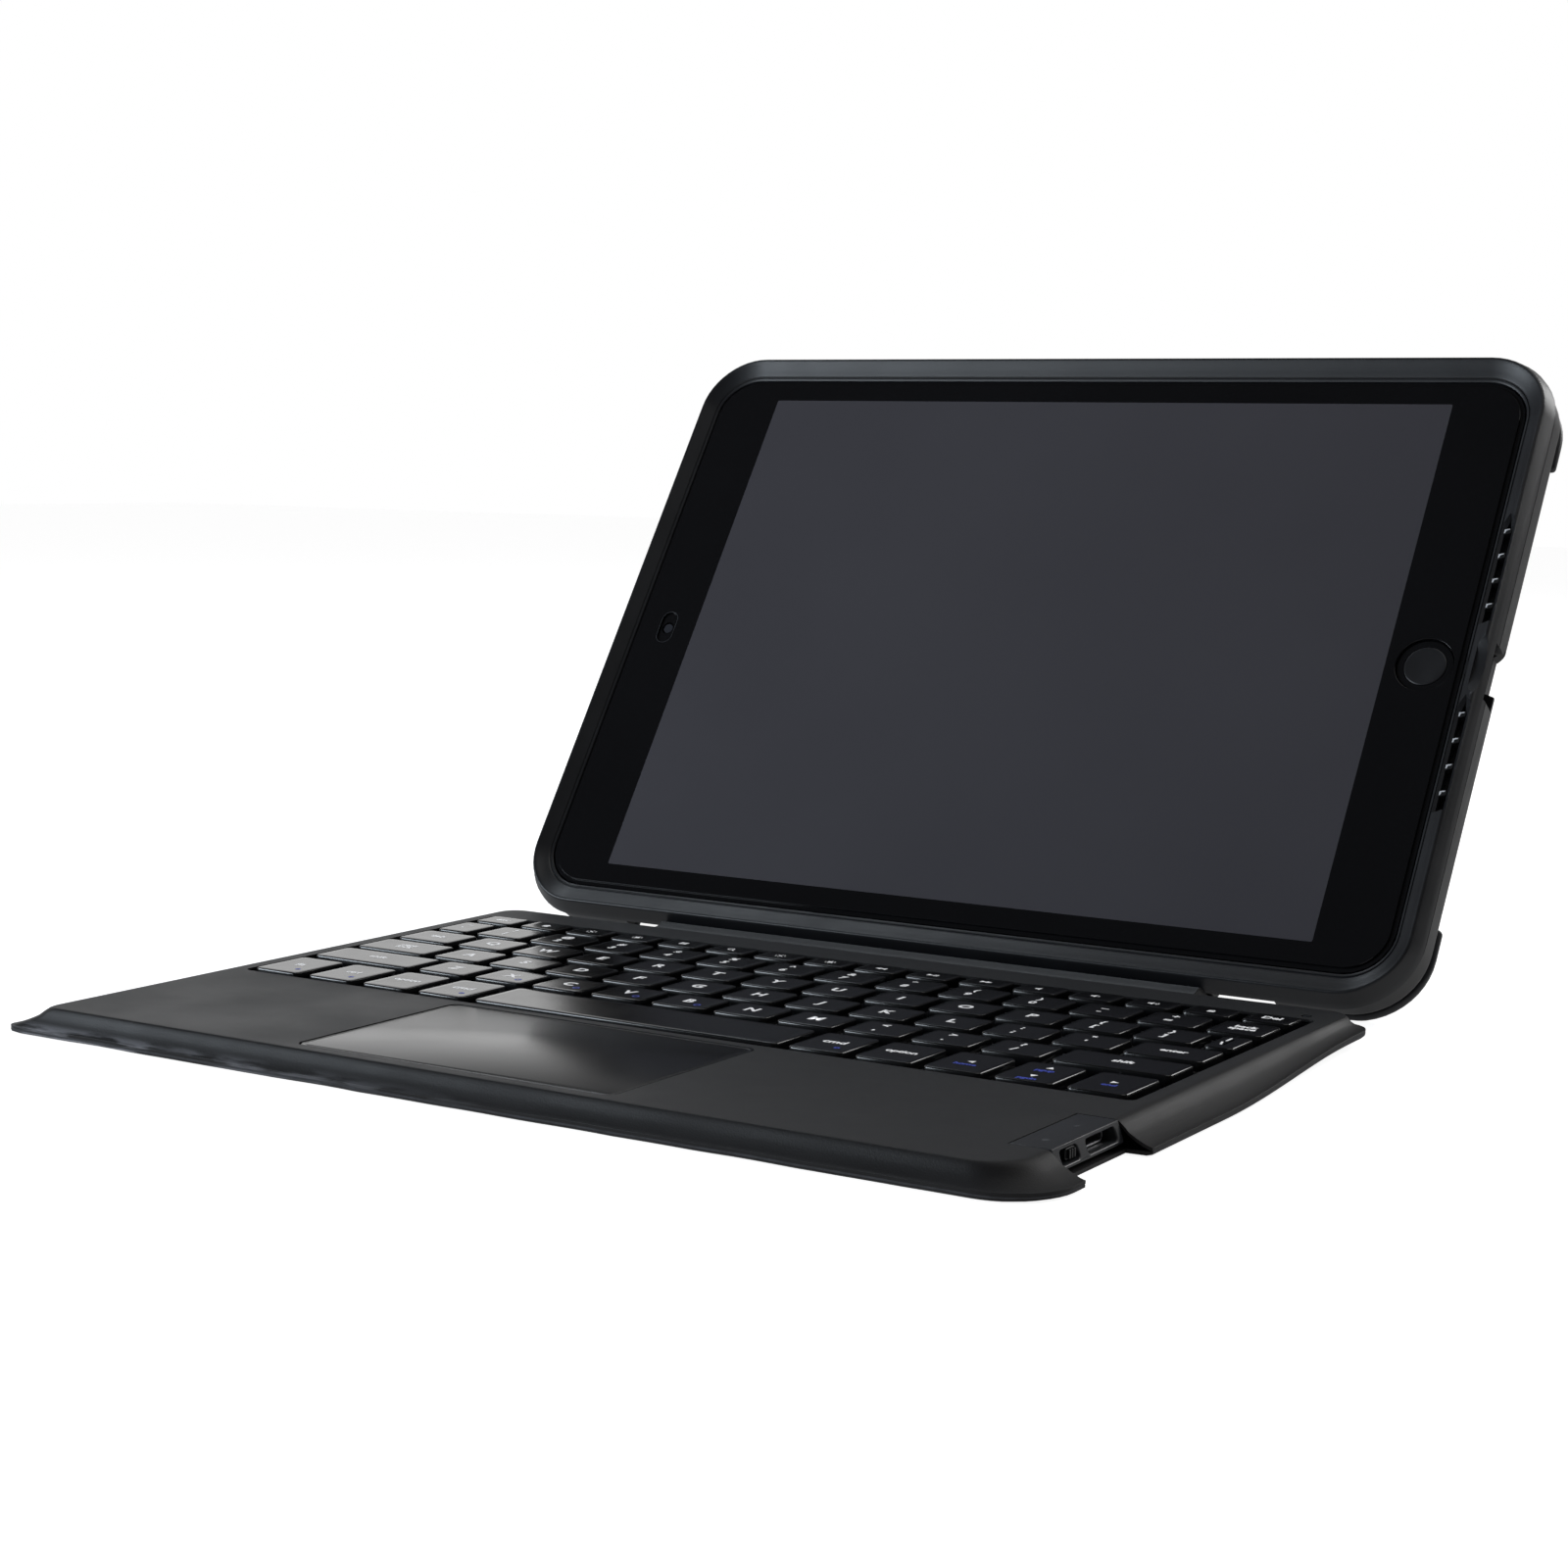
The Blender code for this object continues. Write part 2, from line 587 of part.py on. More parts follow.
def rear_shell(mats, pivot):
    shell = plate("rear_shell", [rounded_about(OUTER_HALF, OUTER_RADIUS)], SHELL_BACK_N, SHELL_FRONT_N,
                  mats["plastic"], pivot)
    soften(shell, 2.8 * MM, 2, lambda p: p.z < SHELL_BACK_N + MM)
    on_tablet_plane(shell)
    pocket = rounded_about([half + GAP for half in OPENING_HALF], OPENING_RADIUS + GAP)
    cut(shell, outline_mesh("pocket", [pocket], SHELL_INNER_N, 0.0))
    camera_hole = [circle(REAR_CAMERA, CAMERA_HOLE, 20)]
    cut(shell, outline_mesh("camera_hole", camera_hole, -0.02, SHELL_INNER_N + MM))
    low, high = PORT_GAP_V
    cut(shell, box_mesh("port_way", (OPENING_HALF[0] - MM, low, -7.6 * MM), (0.14, high, 0.0)))
    for left, right in ((-95.8 * MM, -79.5 * MM), (79.5 * MM, 95.8 * MM)):
        cut(shell, box_mesh("flap_relief", (left, -0.095, -0.012), (right, -88.6 * MM, -0.003)))
    cut(shell, box_mesh("volume_bay", (-103.6 * MM, 89.5 * MM, -8.1 * MM), (-78.4 * MM, 0.1, -4.3 * MM)))
    cut(shell, box_mesh("power_bay", (-0.14, 57.7 * MM, -8.1 * MM), (-127.4 * MM, 70.3 * MM, -4.3 * MM)))


def case_buttons(mats, pivot):
    low_n, high_n = -7.8 * MM, -4.6 * MM
    for name, left in (("volume_up_cover", -103.3 * MM), ("volume_down_cover", -90.8 * MM)):
        cover = box(name, (left, 90.4 * MM, low_n), (left + 12.1 * MM, 92.6 * MM, high_n),
                    mats["rubber"], pivot)
        on_tablet_plane(cover)
    power = box("power_cover", (-130.5 * MM, 58.0 * MM, low_n), (-128.3 * MM, 70.0 * MM, high_n),
                mats["rubber"], pivot)
    on_tablet_plane(power)


def corner_bumpers(mats, pivot):
    for side, right in (("left", -1), ("right", 1)):
        for level, up in (("bottom", -1), ("top", 1)):
            bumper = corner_bumper(f"corner_bumper_{level}_{side}", right, up, mats, pivot)
            on_tablet_plane(bumper)


def corner_bumper(name, right, up, mats, pivot):
    """A thick pad around one back corner."""
    half_u, half_v = OUTER_HALF[0] - 0.2 * MM, OUTER_HALF[1] - 0.2 * MM
    centre = (half_u - OUTER_RADIUS, half_v - OUTER_RADIUS)
    band = 7.0 * MM
    outline = [(96.0 * MM, half_v)] + arc(centre, OUTER_RADIUS, 90, 0) + [(half_u, 66.0 * MM)]
    outline += [(half_u - band, 66.0 * MM)] + arc(centre, OUTER_RADIUS - band, 0, 90)
    outline.append((96.0 * MM, half_v - band))
    placed = [(x * right, y * up) for x, y in outline]
    if right * up < 0:
        placed.reverse()
    bumper = plate(name, [placed], *BUMPER_N, mats["rubber"], pivot)
    soften(bumper, 2.6 * MM, 2, lambda p: p.z < BUMPER_N[0] + MM)
    return bumper


def case_hardware(mats, pivot):
    """The rear camera's ring, and the bar that holds the flap on the back of the case."""
    ring = [circle(REAR_CAMERA, CAMERA_RING, 20), circle(REAR_CAMERA, CAMERA_HOLE, 20)]
    on_tablet_plane(plate("camera_ring", ring, -11.7 * MM, SHELL_BACK_N - GAP, mats["module"], pivot))
    places = [(u, -87.4 * MM) for u in (-70.0 * MM, 70.0 * MM)]
    holes = [circle(place, 1.6 * MM, 10) for place in places]
    bar = [rounded(-78.0 * MM, 78.0 * MM, -90.4 * MM, -84.4 * MM, 1.0 * MM, 1)] + holes
    on_tablet_plane(plate("flap_bar", bar, -12.9 * MM, SHELL_BACK_N - GAP, mats["plastic"], pivot))
    for name, place in zip(("flap_screw_left", "flap_screw_right"), places):
        screw = plate(name, [circle(place, 1.2 * MM, 10)], -12.8 * MM, SHELL_BACK_N - GAP,
                      mats["steel"], pivot)
        on_tablet_plane(screw)


def flap(mats, pivot):
    """The flexible hinge, as a strip on each side of its folding line."""
    box("flap_keyboard_side", (-FLAP_HALF_X, RIM_BACK + GAP, HINGE_Z - 1.2 * MM),
        (FLAP_HALF_X, HINGE_Y - 0.6 * MM, HINGE_Z), mats["flap"])
    strip = box("flap_case_side", (-FLAP_HALF_X, -94.2 * MM, -6.8 * MM),
                (FLAP_HALF_X, -93.0 * MM, HINGE_N - 0.5 * MM), mats["flap"], pivot)
    on_tablet_plane(strip)


# ---------------------------------------------------------------- kickstand

def barrel_mesh(name, radius, left, right):
    return side_plate_mesh(name, [circle((0.0, 0.0), radius, 12)], left, right)


def kickstand_mount(mats, case):
    """A bracket with a lug at each end, and the axle that runs from lug to lug."""
    lug_in, lug_out = 75.6 * MM, 81.0 * MM
    bar_low, bar_high = 3.6 * MM, 6.4 * MM
    outline = [(-lug_out, -3.0 * MM), (-lug_in, -3.0 * MM), (-lug_in, bar_low), (lug_in, bar_low),
               (lug_in, -3.0 * MM), (lug_out, -3.0 * MM), (lug_out, bar_high), (-lug_out, bar_high)]
    bracket = plate("kickstand_bracket", [outline], -2.4 * MM, 2.5 * MM, mats["plastic"], case)
    axle = add_object("kickstand_axle", barrel_mesh("axle", PIN_RADIUS, -lug_out, lug_out),
                      mats["steel"], case)
    for piece in (bracket, axle):
        piece.location = (0.0, HINGE_Y + PIVOT_V, -HINGE_N + PIVOT_N)
    cut(bracket, barrel_mesh("bore", BORE_RADIUS, -lug_out - MM, lug_out + MM))


def pivot_height():
    """Height of the kickstand's axis over the desk."""
    v, n = HINGE_Y + PIVOT_V, PIVOT_N - HINGE_N
    return HINGE_Z + v * math.cos(TILT) + n * math.sin(TILT)


def leg_length():
    """Long enough for the foot's lower corner to end FLOOR_GAP over the desk."""
    corner = FOOT_THICK / 2 * math.sin(LEG_ANGLE)
    return (pivot_height() - FLOOR_GAP - corner) / math.cos(LEG_ANGLE)


def kickstand(mats, case):
    """The leg hangs from its axis along its own -Y, with its thickness along Z."""
    pivot = bpy.data.objects.new("kickstand_pivot", None)
    pivot.parent = case
    pivot.location = (0.0, HINGE_Y + PIVOT_V, -HINGE_N + PIVOT_N)
    pivot.rotation_euler = (TILT + LEG_ANGLE, 0.0, 0.0)
    PARTS.objects.link(pivot)
    length = leg_length()
    foot_top = -length + FOOT_LENGTH
    low = foot_top + GAP
    tab = LEG_HALF_X - 9.0 * MM
    shoulder = -2.7 * MM
    outline = [(-LEG_HALF_X + 3 * MM, low), (LEG_HALF_X - 3 * MM, low),
               (LEG_HALF_X, low + 3 * MM), (LEG_HALF_X, 0.0), (tab, 0.0), (tab, shoulder),
               (-tab, shoulder), (-tab, 0.0), (-LEG_HALF_X, 0.0), (-LEG_HALF_X, low + 3 * MM)]
    leg = plate("kickstand_leg", [outline], -LEG_THICK / 2, LEG_THICK / 2, mats["plastic"], pivot)
    for left, right in ((-LEG_HALF_X, -tab), (tab, LEG_HALF_X)):
        join(leg, barrel_mesh("knuckle", 2.3 * MM, left, right))
    cut(leg, barrel_mesh("bore", BORE_RADIUS, -LEG_HALF_X - MM, LEG_HALF_X + MM))
    foot = rounded(-LEG_HALF_X + 4 * MM, LEG_HALF_X - 4 * MM, -length, foot_top, 2.0 * MM, 2)
    plate("kickstand_foot", [foot], -FOOT_THICK / 2, FOOT_THICK / 2, mats["rubber"], pivot)


# ---------------------------------------------------------------- tablet

def tablet(mats, pivot):
    outline = rounded_about(TABLET_HALF, TABLET_RADIUS)
    housing = plate("tablet_housing", [outline], *HOUSING_N, mats["aluminium"], pivot)
    inner = rounded_about([half - 1.5 * MM for half in TABLET_HALF], TABLET_RADIUS - 1.5 * MM)
    soften(housing, 1.6 * MM, 2, lambda p: p.z < HOUSING_N[0] + MM)
    on_tablet_plane(housing)
    cut(housing, outline_mesh("inside", [inner], -6.4 * MM, 0.0))
    home_hole = circle((HOME_U, 0.0), HOME_RADIUS + GAP, 24)
    glass_holes = [home_hole, circle(FRONT_CAMERA, 1.9 * MM, 12)]
    on_tablet_plane(plate("tablet_glass", [outline] + glass_holes, *GLASS_N, mats["glass"], pivot))
    panel = box("display_panel", (-DISPLAY_HALF[0], -DISPLAY_HALF[1], -3.4 * MM),
                (DISPLAY_HALF[0], DISPLAY_HALF[1], HOUSING_N[1]), mats["screen"], pivot)
    on_tablet_plane(panel)
    film_home = circle((HOME_U, 0.0), 9.2 * MM, 24)
    u, v = FRONT_CAMERA
    film_slot = rounded(u - 2.6 * MM, u + 2.6 * MM, v - 5.0 * MM, v + 5.0 * MM, 2.5 * MM, 4)
    film_edge = rounded_about([half - 1.2 * MM for half in TABLET_HALF], TABLET_RADIUS - 1.2 * MM)
    film = [film_edge, film_home, film_slot]
    on_tablet_plane(plate("screen_film", film, *FILM_N, mats["glass"], pivot))
    home = plate("home_button", [circle((HOME_U, 0.0), HOME_RADIUS, 24)], -1.4 * MM, -0.5 * MM,
                 mats["glass"], pivot)
    on_tablet_plane(home)
    lens = plate("front_camera", [circle(FRONT_CAMERA, 1.5 * MM, 12)], -2.4 * MM, -0.6 * MM,
                 mats["lamp"], pivot)
    on_tablet_plane(lens)


def build():
    clear_scene()
    mats = materials()
    base_skin(mats)
    bottom_tray(mats)
    deck_frame(mats)
    deck_skin(mats)
    keyboard_inside(mats)
    keycaps(mats)
    trackpad(mats)
    port_module(mats)
    case = case_pivot()
    front_frame(mats, case)
    rear_shell(mats, case)
    case_buttons(mats, case)
    corner_bumpers(mats, case)
    case_hardware(mats, case)
    flap(mats, case)
    kickstand_mount(mats, case)
    kickstand(mats, case)
    tablet(mats, case)


PARTS = new_collection("tablet_keyboard_case")
CUTTERS = new_collection("cutters")
build()
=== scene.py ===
"""Looks of a tablet keyboard case: folio skins, moulded keycaps with printed legends, trackpad,
ported side module, rugged case with ribbed recesses, fabric flap, kickstand and tablet.

Metres, +Z up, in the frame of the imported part. Lengths are written in millimetres times MM.
"""
import json
import math

import bmesh
import bpy
from mathutils import Matrix, Vector


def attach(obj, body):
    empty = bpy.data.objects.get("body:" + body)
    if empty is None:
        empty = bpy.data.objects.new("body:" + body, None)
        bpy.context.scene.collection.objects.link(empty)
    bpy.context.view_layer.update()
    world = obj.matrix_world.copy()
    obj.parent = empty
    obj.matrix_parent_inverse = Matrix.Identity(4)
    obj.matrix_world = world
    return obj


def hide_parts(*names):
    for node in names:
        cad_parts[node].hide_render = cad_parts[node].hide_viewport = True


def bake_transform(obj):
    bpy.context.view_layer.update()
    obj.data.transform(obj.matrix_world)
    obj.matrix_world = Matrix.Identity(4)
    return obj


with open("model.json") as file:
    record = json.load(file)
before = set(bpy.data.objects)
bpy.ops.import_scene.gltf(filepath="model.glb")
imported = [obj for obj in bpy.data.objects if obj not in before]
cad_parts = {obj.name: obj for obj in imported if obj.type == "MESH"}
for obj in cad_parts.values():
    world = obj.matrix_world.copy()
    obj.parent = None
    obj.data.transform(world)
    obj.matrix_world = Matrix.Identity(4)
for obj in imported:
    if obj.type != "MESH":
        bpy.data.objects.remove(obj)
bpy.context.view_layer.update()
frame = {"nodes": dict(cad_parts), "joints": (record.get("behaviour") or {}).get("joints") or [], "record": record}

MM = 0.001


def mm(*lengths):
    """Several lengths, given in millimetres."""
    return tuple(length * MM for length in lengths)


# Keyboard folio.
FLAT = mm(121.5, -84.9, 86.7)
RIM = mm(130.0, -88.6, 88.2)
DECK_TOP = 6.4 * MM
RIM_TOP = 1.8 * MM
SKIN = 0.7 * MM
RIGHT_LIFT = 2.1 * MM
RIGHT_TUCK = 2.8 * MM
WELL = mm(118.3, -24.6, 74.4, 2.0)
PAD = mm(-51.0, 31.6, -81.6, -27.6)
PORT_X = mm(113.9, 122.6, 124.0)
PORT_Y = mm(-69.6, -40.8)
SLOT_Z = mm(2.8, 5.6)
SWITCH_SLOT = mm(-67.0, -59.4)
SOCKET_SLOT = mm(-56.0, -43.0)
KNOB = mm(-63.9, -59.7)
LAMP = mm(114.4, 78.2)

# Keys: (front edge, depth) of each row, and the left edge of its first letter key.
KEY_TOP = 7.0 * MM
KEY_LOW = 4.8 * MM
FIELD = 116.0 * MM
PITCH = 17.16 * MM
CAP = 14.2 * MM
KEY_SPACE = 2.9 * MM
ROW_PITCH = 16.13 * MM
ROW_Z = -1.75 * MM
LETTER_DEPTH = 13.1 * MM
BOTTOM_ROW = mm(-23.4, 17.8)
FUNCTION_ROW = mm(62.8, 9.4)
FUNCTION_CAP = 11.7 * MM
MODIFIER_CAP = 13.5 * MM
LEFT_PITCH = 16.77 * MM
RIGHT_PITCH = 16.57 * MM
FIRST_LEFT = {"number": -103.3 * MM, "q": -96.8 * MM, "a": -91.5 * MM, "z": -83.2 * MM}

# Tablet plane: u to the right, v up the tablet, n out of the glass.
TILT = math.radians(33.37)
HINGE_N = 3.4 * MM
HINGE = Vector(next(j for j in frame["joints"] if j["name"] == "case_hinge")["pos_m"])
HINGE_TO_CENTRE = HINGE.y
U_AXIS = Vector((1.0, 0.0, 0.0))
V_AXIS = Vector((0.0, math.sin(TILT), math.cos(TILT)))
N_AXIS = Vector((0.0, -math.cos(TILT), math.sin(TILT)))
CENTRE = HINGE + V_AXIS * HINGE_TO_CENTRE - N_AXIS * HINGE_N
CREST = 2.5 * MM
OPENING = mm(124.0, 85.2, 12.0)
CREST_HALF = mm(128.3, 91.0, 16.5)
OUTER = mm(130.6, 92.0, 18.0)
SHELL_BACK = -10.8 * MM
TABLET = mm(123.7, 84.9, 11.7)
DISPLAY = mm(103.9, 77.95)
HOME_U = 114.0 * MM
FRONT_CAMERA = mm(-113.5, -1.6)
REAR_CAMERA = mm(-112.4, 74.8)
FLAP_HALF = 79.0 * MM
FLAP_GAPS = mm(79.5, 95.8)
PORT_HALF = 8.0 * MM
VOLUME_COVERS = (("volume_up_cover", -103.3 * MM), ("volume_down_cover", -90.8 * MM))
COVER_LENGTH = 12.1 * MM
POWER_COVER_V = mm(58, 70)
COVER_N = mm(-7.8, -4.6)
BEYOND = 140 * MM

TABLET_PLACE = Matrix((
    (U_AXIS.x, V_AXIS.x, N_AXIS.x, CENTRE.x),
    (U_AXIS.y, V_AXIS.y, N_AXIS.y, CENTRE.y),
    (U_AXIS.z, V_AXIS.z, N_AXIS.z, CENTRE.z),
    (0.0, 0.0, 0.0, 1.0)))


# ---- materials

def ramp(nodes, low, high, out_low=0.0, out_high=1.0):
    """A node that maps low..high to out_low..out_high."""
    node = nodes.new("ShaderNodeMapRange")
    for name, value in (("From Min", low), ("From Max", high), ("To Min", out_low),
                        ("To Max", out_high)):
        node.inputs[name].default_value = value
    return node


def material(name, colour, roughness, grain=None, depth=0.0, patches=0.0, patch_size=14 * MM,
             wear=0.0, metallic=0.0, **sockets):
    """A Principled surface with moulded grain, soft patches of gloss and worn edges."""
    made = bpy.data.materials.new(name)
    made.use_nodes = True
    nodes, links = made.node_tree.nodes, made.node_tree.links
    shader = nodes["Principled BSDF"]
    shader.inputs["Metallic"].default_value = metallic
    for socket, value in sockets.items():
        shader.inputs[socket.replace("_", " ")].default_value = value
    place = nodes.new("ShaderNodeTexCoord").outputs["Object"]

    def noise(size, detail):
        texture = nodes.new("ShaderNodeTexNoise")
        texture.inputs["Scale"].default_value = 1.0 / size
        texture.inputs["Detail"].default_value = detail
        links.new(place, texture.inputs["Vector"])
        return texture.outputs["Fac"]

    def spread(source, low, high):
        remap = ramp(nodes, 0.2, 0.8, low, high)
        remap.interpolation_type = "SMOOTHSTEP"
        links.new(source, remap.inputs["Value"])
        return remap.outputs["Result"]

    broad = noise(patch_size, 3.0)
    tint = nodes.new("ShaderNodeMix")
    tint.data_type = "RGBA"
    tint.inputs[6].default_value = (*[c * (1 - patches) for c in colour], 1.0)
    tint.inputs[7].default_value = (*[min(c * (1 + patches), 1.0) for c in colour], 1.0)
    links.new(spread(broad, 0.0, 1.0), tint.inputs[0])
    base = tint.outputs[2]
    if wear > 0:
        geometry = nodes.new("ShaderNodeNewGeometry")
        edge = ramp(nodes, 0.52, 0.62, 0.0, wear)
        links.new(geometry.outputs["Pointiness"], edge.inputs["Value"])
        worn = nodes.new("ShaderNodeMix")
        worn.data_type = "RGBA"
        worn.inputs[7].default_value = (*[min(c * 3.0 + 0.02, 1.0) for c in colour], 1.0)
        links.new(edge.outputs["Result"], worn.inputs[0])
        links.new(base, worn.inputs[6])
        base = worn.outputs[2]
    links.new(base, shader.inputs["Base Color"])
    links.new(spread(broad, roughness * 0.9, min(roughness * 1.1, 1.0)),
              shader.inputs["Roughness"])
    if grain:
        bump = nodes.new("ShaderNodeBump")
        bump.inputs["Strength"].default_value = 1.0
        bump.inputs["Distance"].default_value = depth
        links.new(noise(grain, 4.0), bump.inputs["Height"])
        links.new(bump.outputs["Normal"], shader.inputs["Normal"])
    return made


def weave_material(name, colour, thread):
    """A plain weave: two crossed sets of threads with a sheen."""
    made = material(name, colour, 0.85, None, 0.0, 0.15, Sheen_Weight=0.25, Sheen_Roughness=0.5)
    nodes, links = made.node_tree.nodes, made.node_tree.links
    place = nodes.new("ShaderNodeTexCoord").outputs["Object"]
    heights = []
    for direction in ("X", "Y"):
        wave = nodes.new("ShaderNodeTexWave")
        wave.bands_direction = direction
        wave.inputs["Scale"].default_value = 0.31 / thread
        wave.inputs["Distortion"].default_value = 0.6
        links.new(place, wave.inputs["Vector"])
        heights.append(wave.outputs["Fac"])
    both = nodes.new("ShaderNodeMath")
    both.operation = "MAXIMUM"
    links.new(heights[0], both.inputs[0])
    links.new(heights[1], both.inputs[1])
    bump = nodes.new("ShaderNodeBump")
    bump.inputs["Distance"].default_value = 0.08 * MM
    links.new(both.outputs[0], bump.inputs["Height"])
    links.new(bump.outputs["Normal"], nodes["Principled BSDF"].inputs["Normal"])
    return made


def rim_scuffs_and_highlight(made):
    """Pale scuffs along the thin front rim, brightened towards its left end by a painted highlight where the left
    light falls.
    """
    nodes, links = made.node_tree.nodes, made.node_tree.links
    shader = nodes["Principled BSDF"]
    place = nodes.new("ShaderNodeTexCoord").outputs["Object"]
    apart = nodes.new("ShaderNodeSeparateXYZ")
    links.new(place, apart.inputs[0])
    streaks = nodes.new("ShaderNodeTexNoise")
    streaks.inputs["Scale"].default_value = 1.0 / (3.2 * MM)
    streaks.inputs["Detail"].default_value = 6.0
    stretch = nodes.new("ShaderNodeMapping")
    stretch.inputs["Scale"].default_value = (0.22, 1.0, 1.6)
    links.new(place, stretch.inputs["Vector"])
    links.new(stretch.outputs[0], streaks.inputs["Vector"])
    # The X limit is painted light: it makes the pale streaks strongest towards the left end, where the light
    # falls; the streak noise is the scuffing.
    limits = ((apart.outputs["Z"], 3.3 * MM, 1.7 * MM),
              (apart.outputs["Y"], -86.2 * MM, -87.6 * MM),
              (apart.outputs["X"], 10 * MM, -110 * MM), (streaks.outputs["Fac"], 0.44, 0.58))
    strength = None
    for source, none, full in limits:
        remap = ramp(nodes, none, full)
        links.new(source, remap.inputs["Value"])
        if strength is None:
            strength = remap.outputs["Result"]
            continue
        times = nodes.new("ShaderNodeMath")
        times.operation = "MULTIPLY"
        links.new(strength, times.inputs[0])
        links.new(remap.outputs["Result"], times.inputs[1])
        strength = times.outputs[0]
    base = shader.inputs["Base Color"].links[0].from_socket
    pale = nodes.new("ShaderNodeMix")
    pale.data_type = "RGBA"
    pale.inputs[7].default_value = (0.24, 0.24, 0.26, 1.0)
    links.new(strength, pale.inputs[0])
    links.new(base, pale.inputs[6])
    links.new(pale.outputs[2], shader.inputs["Base Color"])
    return made


SKIN_LOOK = dict(colour=(0.0090, 0.0083, 0.0090), roughness=0.54, grain=0.35 * MM, depth=0.05 * MM,
                 patches=0.16, patch_size=22 * MM, wear=0.06, Specular_IOR_Level=0.32,
                 Sheen_Weight=0.04, Sheen_Roughness=0.4)
MATS = {
    "soft_skin": material("soft skin", **SKIN_LOOK),
    "black_plastic": material("satin plastic", (0.009, 0.009, 0.010), 0.42, 0.25 * MM, 0.015 * MM,
                              0.10, wear=0.10, Specular_IOR_Level=0.4),
    "grey_plastic": material("grey module plastic", (0.022, 0.023, 0.027), 0.40, 0.2 * MM,
                             0.010 * MM, 0.08, wear=0.15),
    "keycap_plastic": material("keycap plastic", (0.0040, 0.0040, 0.0046), 0.19, 0.15 * MM,
                               0.003 * MM, 0.12, 9 * MM, wear=0.05),
    "black_rubber": material("case rubber", (0.0125, 0.0129, 0.0150), 0.41, 0.3 * MM, 0.010 * MM,
                             0.12, 18 * MM, wear=0.03, Specular_IOR_Level=0.45),
    "flap_fabric": weave_material("flap weave", (0.008, 0.008, 0.009), 0.45 * MM),
    "steel": material("brushed steel", (0.50, 0.50, 0.52), 0.30, 0.4 * MM, 0.005 * MM, 0.06,
                      metallic=1.0),
    "circuit_board": material("circuit board", (0.02, 0.11, 0.06), 0.45, 1.2 * MM, 0.05 * MM, 0.25,
                              5 * MM),
    "membrane_film": material("membrane film", (0.40, 0.42, 0.45), 0.35, 3.0 * MM, 0.04 * MM,
                              0.10),
    "battery_foil": material("battery foil", (0.55, 0.55, 0.58), 0.30, 4.0 * MM, 0.10 * MM, 0.10,
                             metallic=0.6),
    "black_glass": material("bezel glass", (0.0062, 0.0062, 0.0072), 0.07, patches=0.1,
                            patch_size=60 * MM),
    "dark_screen": material("dark screen", (0.066, 0.063, 0.073), 0.32, 0.12 * MM, 0.001 * MM,
                            0.02,
                            90 * MM),
    "grey_aluminium": material("blasted aluminium", (0.36, 0.37, 0.39), 0.38, 0.12 * MM,
                               0.010 * MM, 0.04, metallic=1.0),
    "lamp_lens": material("lens", (0.035, 0.037, 0.045), 0.12, 2 * MM, 0.01 * MM, 0.2),
}
# Both legend inks carry a painted glow: a small emission that brightens the print beyond what the lamps give.
LEGEND_WHITE = material("white legend ink", (0.92, 0.92, 0.94), 0.5, 0.2 * MM, 0.004 * MM, 0.03,
                        Emission_Color=(1.0, 1.0, 1.0, 1.0), Emission_Strength=0.30)
LEGEND_BLUE = material("blue legend ink", (0.055, 0.085, 0.50), 0.5, 0.2 * MM, 0.004 * MM, 0.08,
                       Emission_Color=(0.10, 0.14, 0.80, 1.0), Emission_Strength=0.10)
# A pale ring at the film's camera cut-out: a painted highlight along the cut edge.
FILM_EDGE_HIGHLIGHT = material("film cut edge painted highlight", (0.050, 0.052, 0.058), 0.35, patches=0.1)
DIM_INK = material("dim module ink", (0.075, 0.077, 0.085), 0.5, 0.2 * MM, 0.004 * MM, 0.05)
# Pale slivers on the speaker ribs: a painted highlight.
RIB_PAINTED_HIGHLIGHT = material("painted rib highlight", (0.80, 0.81, 0.84), 0.2, 0.2 * MM, 0.004 * MM, 0.06)
BUTTON_FACE = material("button face", (0.016, 0.016, 0.018), 0.36, patches=0.08, patch_size=6 * MM)
TRACKPAD = material("trackpad face", (0.0085, 0.0088, 0.0100), 0.25, 0.15 * MM, 0.0012 * MM, 0.06,
                    30 * MM)
SKIN_EDGE = rim_scuffs_and_highlight(material("soft skin with scuffs and painted highlight on rim", **SKIN_LOOK))
RAW_EDGE = material("raw skin edge", (0.045, 0.045, 0.050), 0.80, 0.9 * MM, 0.16 * MM, 0.45,
                    4 * MM)


# ---- mesh tools

def rounded(left, right, front, back, radius, steps=8):
    """A rectangle with round corners, anticlockwise, as (x, y) points."""
    points = []
    corners = ((right - radius, front + radius, -90), (right - radius, back - radius, 0),
               (left + radius, back - radius, 90), (left + radius, front + radius, 180))
    for x, y, start in corners:
        for step in range(steps + 1):
            angle = math.radians(start + 90.0 * step / steps)
            points.append((x + radius * math.cos(angle), y + radius * math.sin(angle)))
    return points


def about(half_x, half_y, radius, steps=8):
    return rounded(-half_x, half_x, -half_y, half_y, radius, steps)


def circle(x, y, radius, sides=32):
    return [(x + radius * math.cos(math.tau * k / sides),
             y + radius * math.sin(math.tau * k / sides))
            for k in range(sides)]


def level(outline, z):
    return [Vector((x, y, z)) for x, y in outline]


def loft(work, rings, caps=True, loop=False):
    """Skin a row of equal rings of points. loop joins the last ring to the first."""
    made = [[work.verts.new(point) for point in ring] for ring in rings]
    count = len(made[0])
    pairs = list(zip(made, made[1:]))
    if loop:
        pairs.append((made[-1], made[0]))
    for low, high in pairs:
        for index in range(count):
            after = (index + 1) % count
            work.faces.new((low[index], low[after], high[after], high[index]))
    if caps and not loop:
        work.faces.new(list(reversed(made[0])))
        work.faces.new(made[-1])


